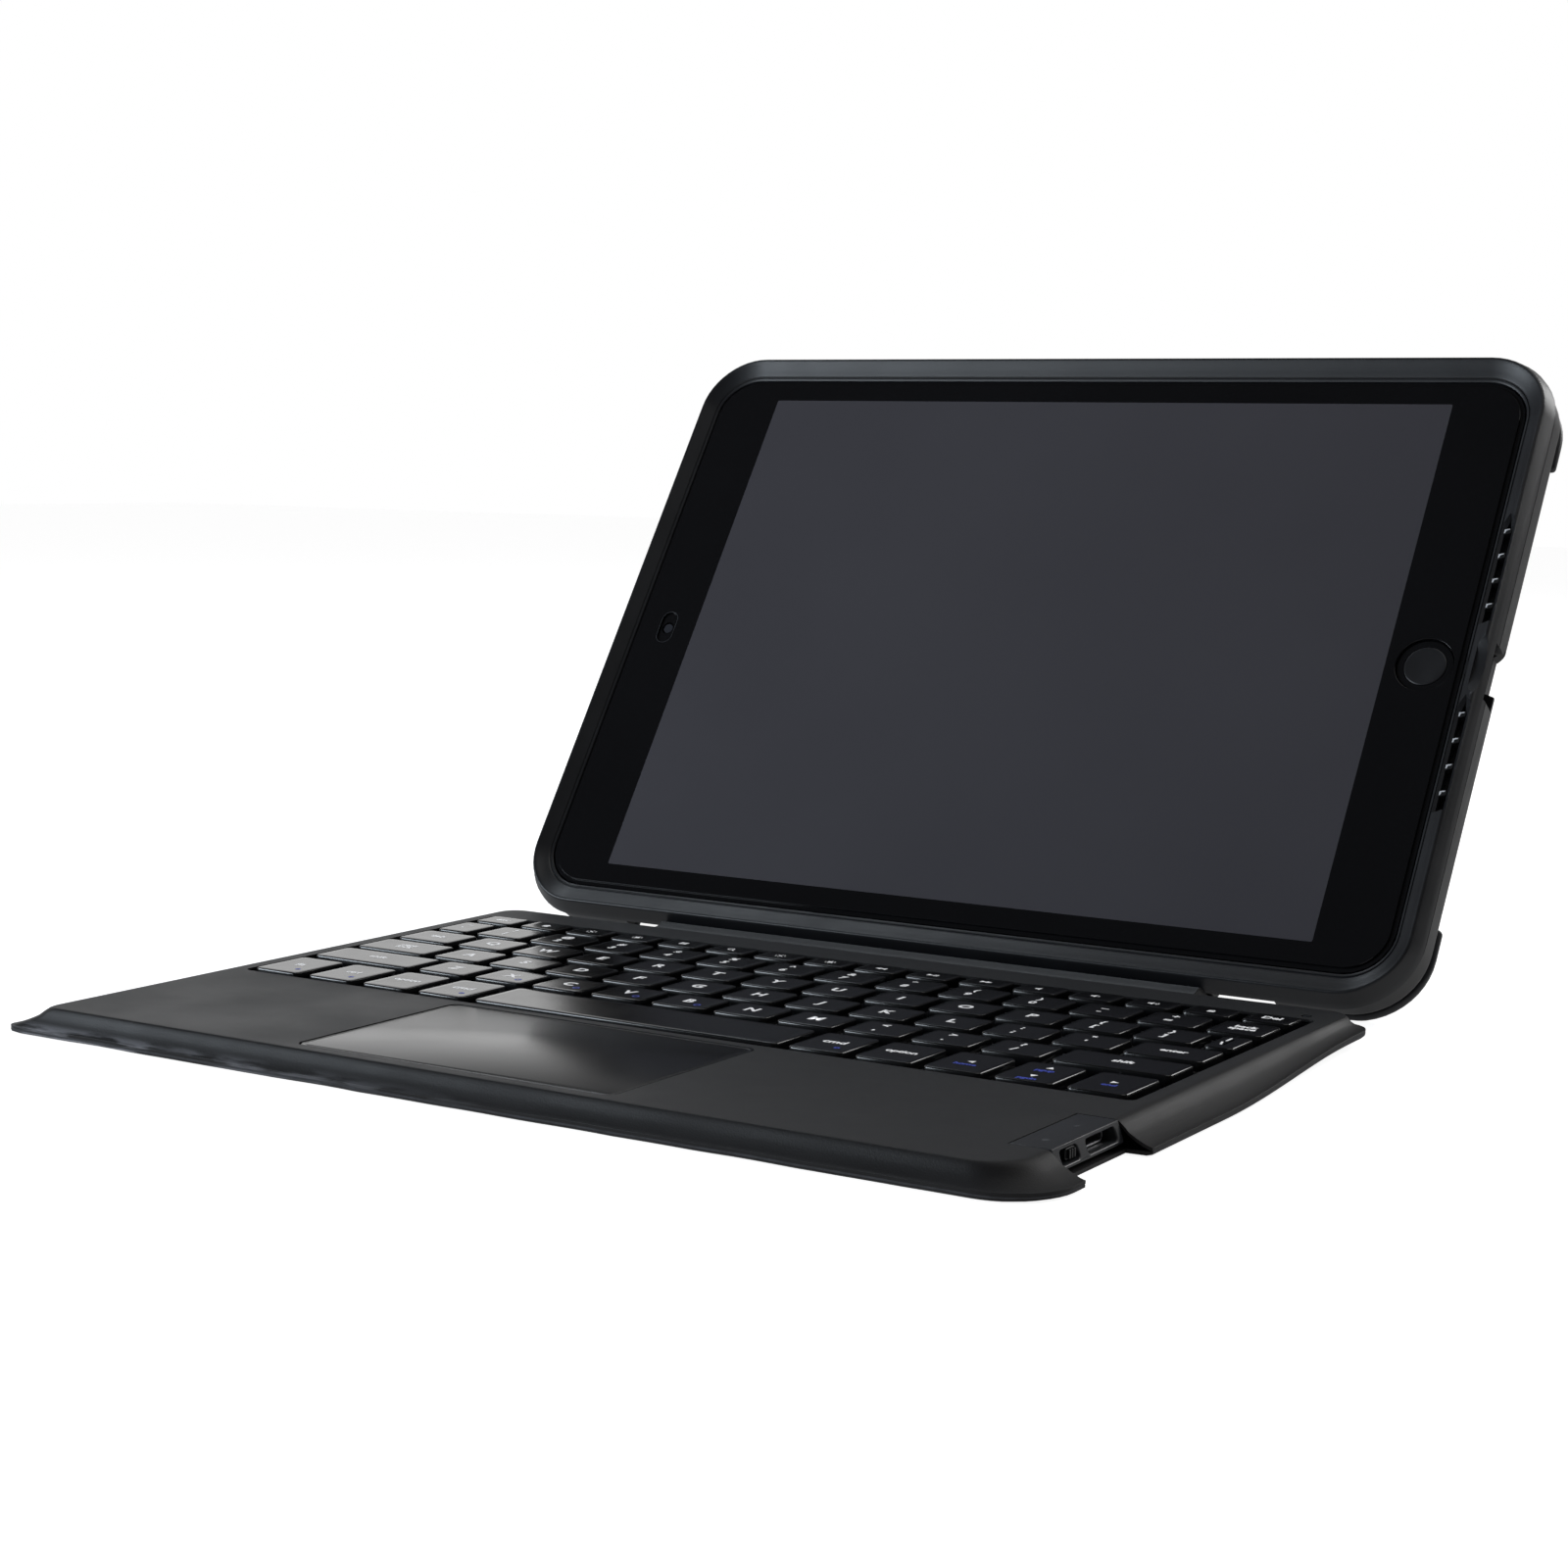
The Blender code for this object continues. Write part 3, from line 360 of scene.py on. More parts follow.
def finished(name, work, mat, body, stands_for=(), place=None, bevel=0.0, segments=3):
    """Turn a bmesh into a piece that rides on a CAD body, when one is given."""
    bmesh.ops.recalc_face_normals(work, faces=work.faces)
    mesh = bpy.data.meshes.new(name)
    work.to_mesh(mesh)
    work.free()
    if place is not None:
        mesh.transform(place)
    mats = mat if isinstance(mat, (list, tuple)) else [mat]
    for entry in mats:
        mesh.materials.append(entry)
    piece = bpy.data.objects.new(name, mesh)
    bpy.context.scene.collection.objects.link(piece)
    mesh.shade_smooth()
    mesh.set_sharp_from_angle(angle=math.radians(38))
    if bevel > 0:
        round_edges(piece, bevel, segments)
    if body is not None:
        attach(piece, body)
    for node in stands_for:
        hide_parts(node)
    return piece


def round_edges(piece, width, segments=3):
    bevel = piece.modifiers.new("rounded edges", "BEVEL")
    bevel.width = width
    bevel.segments = segments
    bevel.limit_method = "ANGLE"
    bevel.angle_limit = math.radians(40)
    bevel.use_clamp_overlap = True
    bevel.harden_normals = False


def carve(piece, cutters, place=None):
    """Take closed solids, each a list of rings, out of a piece's mesh for good."""
    work = bmesh.new()
    for rings in cutters:
        loft(work, rings)
    bmesh.ops.recalc_face_normals(work, faces=work.faces)
    mesh = bpy.data.meshes.new("cutter")
    work.to_mesh(mesh)
    work.free()
    if place is not None:
        mesh.transform(place)
    tool = bpy.data.objects.new("cutter", mesh)
    bpy.context.scene.collection.objects.link(tool)
    cut = piece.modifiers.new("carve", "BOOLEAN")
    cut.operation = "DIFFERENCE"
    cut.solver = "EXACT"
    cut.use_self = True
    cut.object = tool
    graph = bpy.context.evaluated_depsgraph_get()
    carved = bpy.data.meshes.new_from_object(piece.evaluated_get(graph))
    piece.modifiers.clear()
    piece.data = carved
    bpy.data.objects.remove(tool, do_unlink=True)
    carved.shade_smooth()
    carved.set_sharp_from_angle(angle=math.radians(38))


def prism(outline, low, high):
    return [level(outline, low), level(outline, high)]


def block(left, right, front, back, low, high):
    return prism([(left, front), (right, front), (right, back), (left, back)], low, high)


def smoothstep(value):
    value = min(max(value, 0.0), 1.0)
    return value * value * (3.0 - 2.0 * value)


# ---- folio skins

CORNERS = mm(14.0, 7.0, 6.0, 2.6)
DECK_CORNERS = mm(9.0, 5.0, 5.0, 4.0)
LEFT_TIP = 1.3 * MM


def rim_template(steps=10):
    """How many points each stretch of a folio ring has, so that all its rings match."""
    count = []
    sides = (RIM[2] - RIM[1], 2 * RIM[0], RIM[2] - RIM[1], 2 * RIM[0])
    for side in sides:
        count += [1] * steps + [int(side / (5 * MM))]
    return count


def dense_ring(share, z, inset=0.0):
    """A ring between the deck's edge (share 0) and the rim (share 1).

    Each corner has its own radius, the right rim curls up and tucks in towards the back, the
    front left tip reaches out, and the long edges wave a little as pressed skins do.
    """
    half_x, front, back = [flat + (rim - flat) * share for flat, rim in zip(FLAT, RIM)]
    half_x, front, back = half_x - inset, front + inset, back - inset
    radii = [max(deck + (rim - deck) * share - inset, 1.0 * MM)
             for deck, rim in zip(DECK_CORNERS, CORNERS)]
    places = ((half_x, front, 1, -1, -90), (half_x, back, 1, 1, 0),
              (-half_x, back, -1, 1, 90), (-half_x, front, -1, -1, 180))
    corners = []
    for (x, y, right, up, start), radius in zip(places, radii):
        for step in range(11):
            angle = math.radians(start + 9.0 * step)
            corners.append(Vector((x - right * radius + radius * math.cos(angle),
                                   y - up * radius + radius * math.sin(angle), z)))
    ring = []
    for index, (point, count) in enumerate(zip(corners, rim_template())):
        after = corners[(index + 1) % len(corners)]
        ring += [point.lerp(after, step / count) for step in range(count)]
    shaped = []
    for point in ring:
        curl = smoothstep((point.y + 5 * MM) / (85 * MM)) * share
        curl *= smoothstep((point.x - 60 * MM) / (50 * MM))
        tip = smoothstep((-point.x - 100 * MM) / (28 * MM)) * share
        tip *= smoothstep((-point.y - 20 * MM) / (60 * MM))
        wave = 0.16 * MM * share * (math.sin(point.x / (9.5 * MM))
                                    + math.sin(point.x / (5.3 * MM) + 2))
        wave *= smoothstep((-point.y - 84 * MM) / (2 * MM))
        shaped.append(point + Vector((-RIGHT_TUCK * curl - LEFT_TIP * tip, 0.6 * wave,
                                      RIGHT_LIFT * curl + 0.4 * abs(wave))))
    return shaped


def slope(share):
    """Height of the flared edge: steep by the deck, flat at the rim."""
    fall = 1.0 - (1.0 - share) ** 1.35
    return DECK_TOP + (RIM_TOP - DECK_TOP) * fall * smoothstep(0.12 + share * 2.1)


def folio_top():
    """The top skin: deck, flared edge and thin rim, with the well, trackpad and port cut out."""
    work = bmesh.new()
    shares = (0.0, 0.04, 0.09, 0.16, 0.26, 0.38, 0.5, 0.62, 0.74, 0.86, 0.94, 1.0)
    outside = [dense_ring(0.0, DECK_TOP, 1.2 * MM),
               dense_ring(0.0, DECK_TOP + 0.02 * MM, 0.5 * MM)]
    outside += [dense_ring(share, slope(share)) for share in shares]
    inside = [dense_ring(share, slope(share) - SKIN, 0.05 * MM) for share in reversed(shares)]
    inside.append(dense_ring(0.0, DECK_TOP - SKIN, 1.2 * MM))
    loft(work, outside + inside)
    top = finished("folio_top_skin", work, SKIN_EDGE, "keyboard", ["deck_skin"])
    half_x, front, back, radius = WELL
    gap = 0.3 * MM
    low, high = 2.0 * MM, 12 * MM
    carve(top, [
        prism(rounded(-half_x, half_x, front, back, radius), low, high),
        prism(rounded(PAD[0] - gap, PAD[1] + gap, PAD[2] - gap, PAD[3] + gap, 2.8 * MM), low,
              high),
        prism(circle(*LAMP, 1.3 * MM), low, high),
        block(PORT_X[0] - gap, BEYOND, PORT_Y[0] - gap, PORT_Y[1] + gap, -1 * MM, high)])
    round_edges(top, 0.22 * MM, 2)


def folio_base():
    """The bottom skin, flat on the desk and turned up to meet the top skin at the rim."""
    work = bmesh.new()
    under = SKIN + 0.12 * MM
    rings = [dense_ring(0.0, 0.0, 8 * MM), dense_ring(0.30, 0.0), dense_ring(0.85, 0.12 * MM),
             dense_ring(1.0, 0.45 * MM, 0.1 * MM), dense_ring(1.0, RIM_TOP - under, 0.1 * MM),
             dense_ring(0.85, RIM_TOP - under, 0.1 * MM), dense_ring(0.30, 0.8 * MM)]
    loft(work, rings)
    base = finished("folio_base_skin", work, SKIN_EDGE, "keyboard", ["base_skin"])
    carve(base, [block(PORT_X[2] + 0.3 * MM, BEYOND, PORT_Y[0] - 0.3 * MM, PORT_Y[1] + 0.3 * MM,
                       -1 * MM, 12 * MM)])
    round_edges(base, 0.15 * MM, 2)


def raw_edge():
    """The cut edge of the two pressed skins, as a thin seam that shows round the rim."""
    work = bmesh.new()
    seam = SKIN + 0.12 * MM
    ring_low = dense_ring(1.0, RIM_TOP - seam - 0.25 * MM, 0.02 * MM)
    ring_high = dense_ring(1.0, RIM_TOP - SKIN + 0.05 * MM, 0.02 * MM)
    inner_high = dense_ring(1.0, RIM_TOP - SKIN + 0.05 * MM, 0.5 * MM)
    inner_low = dense_ring(1.0, RIM_TOP - seam - 0.25 * MM, 0.5 * MM)
    loft(work, [ring_low, ring_high, inner_high, inner_low], loop=True)
    seam_piece = finished("folio_edge_seam", work, RAW_EDGE, "keyboard")
    carve(seam_piece, [block(PORT_X[2], BEYOND, PORT_Y[0] - 0.6 * MM, PORT_Y[1] + 0.6 * MM,
                             -1 * MM, 12 * MM)])


# ---- keys and legends

def cap_rings(left, width, front, depth):
    """A keycap: straight lower sides, a sloped skirt, a round top edge and a shallow dish."""
    profile = ((0.0, KEY_LOW), (0.0, KEY_LOW + 0.8 * MM), (0.10 * MM, KEY_TOP - 0.45 * MM),
               (0.17 * MM, KEY_TOP - 0.18 * MM), (0.28 * MM, KEY_TOP - 0.05 * MM),
               (0.44 * MM, KEY_TOP), (1.6 * MM, KEY_TOP - 0.01 * MM),
               (3.2 * MM, KEY_TOP - 0.02 * MM))
    rings = []
    for inset, z in profile:
        radius = max(1.3 * MM - 0.4 * inset, 0.5 * MM)
        rings.append(level(rounded(left + inset, left + width - inset, front + inset,
                                   front + depth - inset, radius, 4), z))
    return rings


def row_front(index):
    return ROW_Z + index * ROW_PITCH


def letters(name, index, legends):
    return [(FIRST_LEFT[name] + k * PITCH, CAP, row_front(index), LETTER_DEPTH, legend)
            for k, legend in enumerate(legends)]


def end_key(row, left_side, legend):
    left, width, front, depth = row[0][:4] if left_side else row[-1][:4]
    if left_side:
        return (-FIELD, left - KEY_SPACE + FIELD, front, depth, legend)
    start = left + width + KEY_SPACE
    return (start, FIELD - start, front, depth, legend)


def right_modifier(index, legend):
    return (FIELD - MODIFIER_CAP - index * RIGHT_PITCH, MODIFIER_CAP, *BOTTOM_ROW, legend)


def key_table():
    """Every key by node, as (left, width, front, depth, legend)."""
    pitch = (2 * FIELD - FUNCTION_CAP) / 15
    icons = ("esc", "*home", "*sun_low", "*sun_high", "*grid", "*search", "*lamp_low",
             "*lamp_high",
             "*previous", "*play", "*next", "*mute", "*quiet", "*loud", "*lock", "Del")
    function = [(-FIELD + k * pitch, FUNCTION_CAP, *FUNCTION_ROW, icon)
                for k, icon in enumerate(icons)]
    pairs = ("!1", "@2", "#3", "$4", "%5", "^6", "&7", "*8", "(9", ")0", "_-", "+=")
    number = letters("number", 3, pairs)
    q_row = letters("q", 2, list("QWERTYUIOP") + ["{[", "}]"])
    a_row = letters("a", 1, list("ASDFGHJKL") + [":;", "\"'"])
    z_row = letters("z", 0, list("ZXCVBNM") + ["<,", ">.", "?/"])
    modifiers = [(-FIELD + k * LEFT_PITCH, MODIFIER_CAP, *BOTTOM_ROW, legend)
                 for k, legend in enumerate(("fn", "ctrl", "option", "cmd"))]
    space_left = -FIELD + 4 * LEFT_PITCH
    space_right = right_modifier(4, "")[0] - KEY_SPACE
    return {
        "keys_function_row": function,
        "keys_number_row": [end_key(number, True, "~`")] + number,
        "keys_q_row": q_row + [end_key(q_row, False, "|\\")],
        "keys_a_row": a_row,
        "keys_z_row": z_row,
        "keys_left_modifiers": modifiers,
        "keys_right_modifiers": [right_modifier(4, "cmd"), right_modifier(3, "option")],
        "key_backspace": [end_key(number, False, "back\nspace")],
        "key_tab": [end_key(q_row, True, "tab")],
        "key_caps_lock": [end_key(a_row, True, "caps\nlock")],
        "key_enter": [end_key(a_row, False, "enter")],
        "key_shift_left": [end_key(z_row, True, "shift")],
        "key_shift_right": [end_key(z_row, False, "shift")],
        "key_space": [(space_left, space_right - space_left, *BOTTOM_ROW, "")],
        "key_arrow_left": [right_modifier(2, "<arrow")],
        "key_arrow_up_down": [right_modifier(1, "^arrow")],
        "key_arrow_right": [right_modifier(0, ">arrow")],
    }


def ink_text(work, words, x, y, size, mat_index=0):
    """Printed words, centred on (x, y), on the cap's top."""
    curve = bpy.data.curves.new("legend", "FONT")
    curve.body = words
    curve.size = size
    curve.align_x = "CENTER"
    curve.align_y = "CENTER"
    curve.space_line = 0.8
    curve.resolution_u = 3
    curve.offset = 0.035 * size
    guide = bpy.data.objects.new("legend", curve)
    bpy.context.scene.collection.objects.link(guide)
    graph = bpy.context.evaluated_depsgraph_get()
    mesh = bpy.data.meshes.new_from_object(guide.evaluated_get(graph))
    mesh.transform(Matrix.Translation((x, y, KEY_TOP + 0.015 * MM)))
    before = len(work.faces)
    work.from_mesh(mesh)
    work.faces.ensure_lookup_table()
    for face in work.faces[before:]:
        face.material_index = mat_index
    bpy.data.objects.remove(guide, do_unlink=True)
    bpy.data.meshes.remove(mesh)


def ink_shape(work, outline, x, y, size, mat_index=0):
    face = work.faces.new([work.verts.new((x + u * size, y + v * size, KEY_TOP + 0.015 * MM))
                           for u, v in outline])
    face.material_index = mat_index


def ink_ring(work, x, y, radius, thick, start=0.0, sweep=360.0, mat_index=0):
    """A printed ring, or part of one."""
    steps = max(6, int(sweep / 20))
    for k in range(steps):
        turn = [math.radians(start + sweep * (k + end) / steps) for end in (0, 1)]
        outer, inner = radius, radius - thick
        ink_shape(work, [(outer * math.cos(turn[0]), outer * math.sin(turn[0])),
                         (outer * math.cos(turn[1]), outer * math.sin(turn[1])),
                         (inner * math.cos(turn[1]), inner * math.sin(turn[1])),
                         (inner * math.cos(turn[0]), inner * math.sin(turn[0]))], x, y, 1.0,
                         mat_index)


def triangle(point_left):
    side = -1 if point_left else 1
    return [(-0.5 * side, -0.6), (0.6 * side, 0.0), (-0.5 * side, 0.6)]


def bar(left, right, low, high):
    return [(left, low), (right, low), (right, high), (left, high)]


def icon(work, kind, x, y):
    """Generic symbols of the function row, about 3 mm across."""
    size = 1.5 * MM
    if kind.startswith(("sun", "lamp")):
        core = 0.30 * size if kind.endswith("low") else 0.5 * size
        ink_ring(work, x, y, core, core * 0.98)
        for k in range(8):
            angle = math.tau * k / 8
            ink_ring(work, x + size * math.cos(angle) * 0.85, y + size * math.sin(angle) * 0.85,
                     0.13 * size, 0.12 * size)
    elif kind == "home":
        ink_shape(work, [(-0.9, 0.0), (0.9, 0.0), (0.0, 0.9)], x, y, size)
        ink_shape(work, bar(-0.6, 0.6, -0.85, -0.08), x, y, size)
    elif kind == "grid":
        for u in (-0.75, 0.05):
            for v in (-0.7, 0.1):
                ink_shape(work, bar(u, u + 0.65, v, v + 0.6), x, y, size)
    elif kind == "search":
        ink_ring(work, x - 0.2 * size, y + 0.2 * size, 0.65 * size, 0.2 * size)
        ink_shape(work, [(0.2, -0.35), (0.38, -0.17), (0.95, -0.75), (0.78, -0.93)], x, y, size)
    elif kind in ("previous", "next"):
        for shift in (-0.5, 0.5):
            ink_shape(work, triangle(kind == "previous"), x + shift * size, y, size)
    elif kind == "play":
        ink_shape(work, triangle(False), x - 0.5 * size, y, size)
        ink_shape(work, bar(0.2, 0.45, -0.6, 0.6), x, y, size)
        ink_shape(work, bar(0.65, 0.9, -0.6, 0.6), x, y, size)
    elif kind in ("mute", "quiet", "loud"):
        ink_shape(work, bar(-0.95, -0.6, -0.3, 0.3), x, y, size)
        ink_shape(work, [(-0.55, -0.3), (0.0, -0.8), (0.0, 0.8), (-0.55, 0.3)], x, y, size)
        for count in range(("mute", "quiet", "loud").index(kind)):
            ink_ring(work, x, y, (0.55 + 0.4 * count) * size, 0.16 * size, -45, 90)
    elif kind == "lock":
        ink_shape(work, bar(-0.6, 0.6, -0.8, 0.1), x, y, size)
        ink_ring(work, x, y + 0.1 * size, 0.5 * size, 0.17 * size, 0, 180)


def legend(work, left, width, front, depth, words):
    """The printed legend of one key: white, with some blue second functions."""
    x, y = left + width / 2, front + depth / 2
    if words.startswith("*") and len(words) > 2:
        icon(work, words[1:], x, y)
    elif words.endswith("arrow"):
        arrows = {"<": ((0.0, 0.0),), ">": ((0.0, 180.0),),
                  "^": ((4.2 * MM, -90.0), (-4.2 * MM, 90.0))}[words[0]]
        second = {"<": ("home",), ">": ("end",), "^": ("pgup", "pgdn")}[words[0]]
        for (shift, turn), name in zip(arrows, second):
            c, s = math.cos(math.radians(turn)), math.sin(math.radians(turn))
            shape = [(u * c - v * s, u * s + v * c) for u, v in triangle(True)]
            ink_shape(work, shape, x, y + shift + 0.6 * MM, 1.5 * MM)
            ink_text(work, name, x, y + shift - 2.2 * MM, 2.3 * MM, 1)
    elif len(words) == 1:
        ink_text(work, words, x - 0.4 * MM, y + 0.3 * MM, 4.6 * MM)
        if words in "CVBX":
            ink_ring(work, x + 3.6 * MM, y - 2.6 * MM, 0.9 * MM, 0.35 * MM, mat_index=1)
    elif len(words) == 2 and not words.isalpha():
        ink_text(work, words[0], x - 1.0 * MM, y + 2.9 * MM, 3.4 * MM)
        ink_text(work, words[1], x - 1.0 * MM, y - 1.7 * MM, 3.6 * MM)
    elif words:
        small = 2.9 * MM if len(words) > 3 else 3.4 * MM
        ink_text(work, words, x, y + 0.4 * MM, small)
        if words in ("cmd", "fn", "ctrl"):
            ink_text(work, "o", x + 3.2 * MM, y - 4.2 * MM, 2.6 * MM, 1)


def keyboard_keys():
    for node, keys in key_table().items():
        body = node + "_body"
        caps = bmesh.new()
        ink = bmesh.new()
        for left, width, front, depth, words in keys:
            loft(caps, cap_rings(left, width, front, depth))
            legend(ink, left, width, front, depth, words)
        finished(node + "_caps", caps, MATS["keycap_plastic"], body, [node])
        if len(ink.faces):
            printed = finished(node + "_legends", ink, [LEGEND_WHITE, LEGEND_BLUE], body)
        else:
            ink.free()


# ---- trackpad, ports, lamp

def trackpad():
    work = bmesh.new()
    left, right, front, back = PAD
    low, high = 5.5 * MM, 6.3 * MM
    profile = ((0.0, low), (0.0, high - 0.30 * MM), (0.08 * MM, high - 0.12 * MM),
               (0.30 * MM, high), (0.55 * MM, high), (0.65 * MM, high - 0.06 * MM),
               (0.85 * MM, high - 0.06 * MM), (0.95 * MM, high))
    rings = [level(rounded(left + d, right - d, front + d, back - d, 2.5 * MM - 0.5 * d), z)
             for d, z in profile]
    loft(work, rings)
    pad = finished("trackpad_surface", work, TRACKPAD, "trackpad", ["trackpad_glass"])


def port_module():
    """The side module: a wedge with two slots in its outer face and small icons on top."""
    left, right_top, right = PORT_X
    front, back = PORT_Y
    low = 2.0 * MM
    profile = [(left, low), (right, low), (right, low + 0.6 * MM), (right_top, DECK_TOP),
               (left, DECK_TOP)]
    work = bmesh.new()
    loft(work, [[Vector((x, y, z)) for x, z in profile] for y in (front, back)])
    module = finished("port_module_housing", work, MATS["grey_plastic"], "keyboard",
                      ["port_module"])
    outside = right + 2 * MM
    cutters = []
    for depth, (slot_front, slot_back) in ((120.6 * MM, SWITCH_SLOT), (115.4 * MM, SOCKET_SLOT)):
        outline = rounded(slot_front, slot_back, *SLOT_Z, 0.9 * MM, 5)
        cutters.append([[Vector((x, y, z)) for y, z in outline] for x in (depth, outside)])
    carve(module, cutters)
    round_edges(module, 0.25 * MM, 3)
    dots = bmesh.new()
    for x, y, radius in (mm(118.4, -63.4, 0.75), mm(118.4, -50.0, 0.55)):
        loft(dots, prism(circle(x, y, radius, 16), DECK_TOP - 0.02 * MM, DECK_TOP + 0.02 * MM))
    marks = finished("port_module_marks", dots, DIM_INK, "keyboard")


def power_switch():
    """A slide knob with three ribs."""
    work = bmesh.new()
    front, back = KNOB
    low, high = SLOT_Z[0] + 0.3 * MM, SLOT_Z[1] - 0.3 * MM
    loft(work, [[Vector((x, y, z)) for y, z in rounded(front, back, low, high, 0.5 * MM, 4)]
                for x in mm(121.0, 122.7)])
    step = (back - front) / 4
    for k in (1, 2, 3):
        y = front + k * step
        loft(work, [[Vector((x, py, pz)) for py, pz in
                     rounded(y - 0.28 * MM, y + 0.28 * MM, low + 0.2 * MM, high - 0.2 * MM,
                             0.15 * MM, 2)]
                    for x in mm(122.6, 123.3)])
    knob = finished("power_switch_knob", work, MATS["black_plastic"], "power_switch_body",
                    ["power_switch"], bevel=0.08 * MM, segments=2)


# ---- tablet case

def frame_ring(share, n, grow=0.0):
    """A ring round the tablet between the opening (share 0) and the crest (share 1)."""
    half_u, half_v, radius = [inner + (outer - inner) * share + grow
                              for inner, outer in zip(OPENING, CREST_HALF)]
    return level(about(half_u, half_v, radius, 12), n)


def port_cutters():
    inside = OPENING[0] - 1 * MM
    scoop = []
    for k in range(9):
        angle = math.pi * k / 8
        scoop.append((-9.5 * MM * math.cos(angle), CREST + (1.5 - 3.4 * math.sin(angle)) * MM))
    return [
        block(inside, BEYOND, -PORT_HALF, PORT_HALF, -7.6 * MM, -1.2 * MM),
        [[Vector((u, v, n)) for v, n in scoop] for u in (OPENING[0] + 2.6 * MM, BEYOND)]]


def recess_reach(sign):
    """Where a speaker recess starts and ends along the edge."""
    return mm(12.2, 44.4) if sign > 0 else mm(-40.8, -8.4)


def recess_funnel(sign):
    """A wide funnel, square at its lower end and pointed at its upper end, over a narrow slot."""
    low, high = recess_reach(sign)
    rings = []
    mouth, slot = (124.55, 129.0, 0.0), (125.8, 127.6, 1.0)
    for (left, right, shrink), n, lean in ((mouth, 3.0, 0.42), (mouth, 0.35, 0.42),
                                           (slot, -0.05, 0.0),
                                           (slot, -2.2, 0.0)):
        middle, end, top = (left + right) / 2, low / MM + 0.35 * shrink, high / MM - 1.5 * shrink
        outline = ((left, end), (right, end), (right, top - 3.6), (right - 0.5, top - 1.8),
                   (middle, top),
                   (left + 0.5, top - 1.8), (left, top - 3.6))
        rings.append([Vector((u, v, n + lean * (u - left))) * MM for u, v in outline])
    return rings


def front_frame():
    """The soft front frame: inner lip, broad sloped face, crest and outer wall."""
    work = bmesh.new()
    back, crest, bulge = -2.8, CREST / MM, (OUTER[0] - CREST_HALF[0]) / MM
    lip = ((0.0, back), (0.0, -0.6), (0.02, -0.15), (0.10, 0.15), (0.15, 0.18), (0.19, -0.05))
    face = ((0.23, 0.30), (0.28, 0.45), (0.42, 0.80), (0.60, 1.30), (0.80, 1.95), (0.92, 2.36),
            (0.97, crest - 0.03), (1.0, crest))
    wall = ((crest - 0.10, 0.32), (2.0, 0.62), (1.0, 0.95), (-0.8, 0.85 * bulge), (back, bulge))
    rings = [frame_ring(share, n * MM) for share, n in lip + face]
    rings += [frame_ring(1.0, n * MM, grow * MM) for n, grow in wall]
    loft(work, rings, loop=True)
    piece = finished("case_front_frame", work, MATS["black_rubber"], "case", ["front_frame"],
                     place=TABLET_PLACE)
    button_notch = prism(circle(HOME_U, 0.0, 10.9 * MM, 48), -0.5 * MM, CREST + 1 * MM)
    carve(piece, port_cutters() + [recess_funnel(-1), recess_funnel(1), button_notch],
          TABLET_PLACE)
    round_edges(piece, 0.18 * MM, 2)


def speaker_ribs():
    """Four dark ribs across each recess, each with a pale painted highlight along its top and left side."""
    work, edges = bmesh.new(), bmesh.new()
    left, right = 125.75 * MM, 127.65 * MM
    low, high = -2.1 * MM, 0.35 * MM
    for sign in (-1, 1):
        start = recess_reach(sign)[0] + 4.6 * MM
        for k in range(4):
            v = start + k * 7.3 * MM
            loft(work, prism([(left, v), (right, v + 0.5 * MM), (right, v + 1.9 * MM),
                              (left, v + 1.4 * MM)], low, high))
            # Pale hook along the rib's top and left side: a painted highlight.
            hook = [(left + 0.1 * MM, v + 0.3 * MM), (left + 0.4 * MM, v + 0.35 * MM),
                    (left + 0.6 * MM, v + 1.1 * MM), (right - 0.5 * MM, v + 1.35 * MM),
                    (right - 0.5 * MM, v + 1.65 * MM), (left + 0.1 * MM, v + 1.35 * MM)]
            loft(edges, prism(hook, high - 0.1 * MM, high + 0.06 * MM))
    ribs = finished("speaker_ribs", work, MATS["black_plastic"], "case", place=TABLET_PLACE,
                    bevel=0.2 * MM)
    trims = finished("speaker_rib_painted_highlights", edges, RIB_PAINTED_HIGHLIGHT, "case", place=TABLET_PLACE)


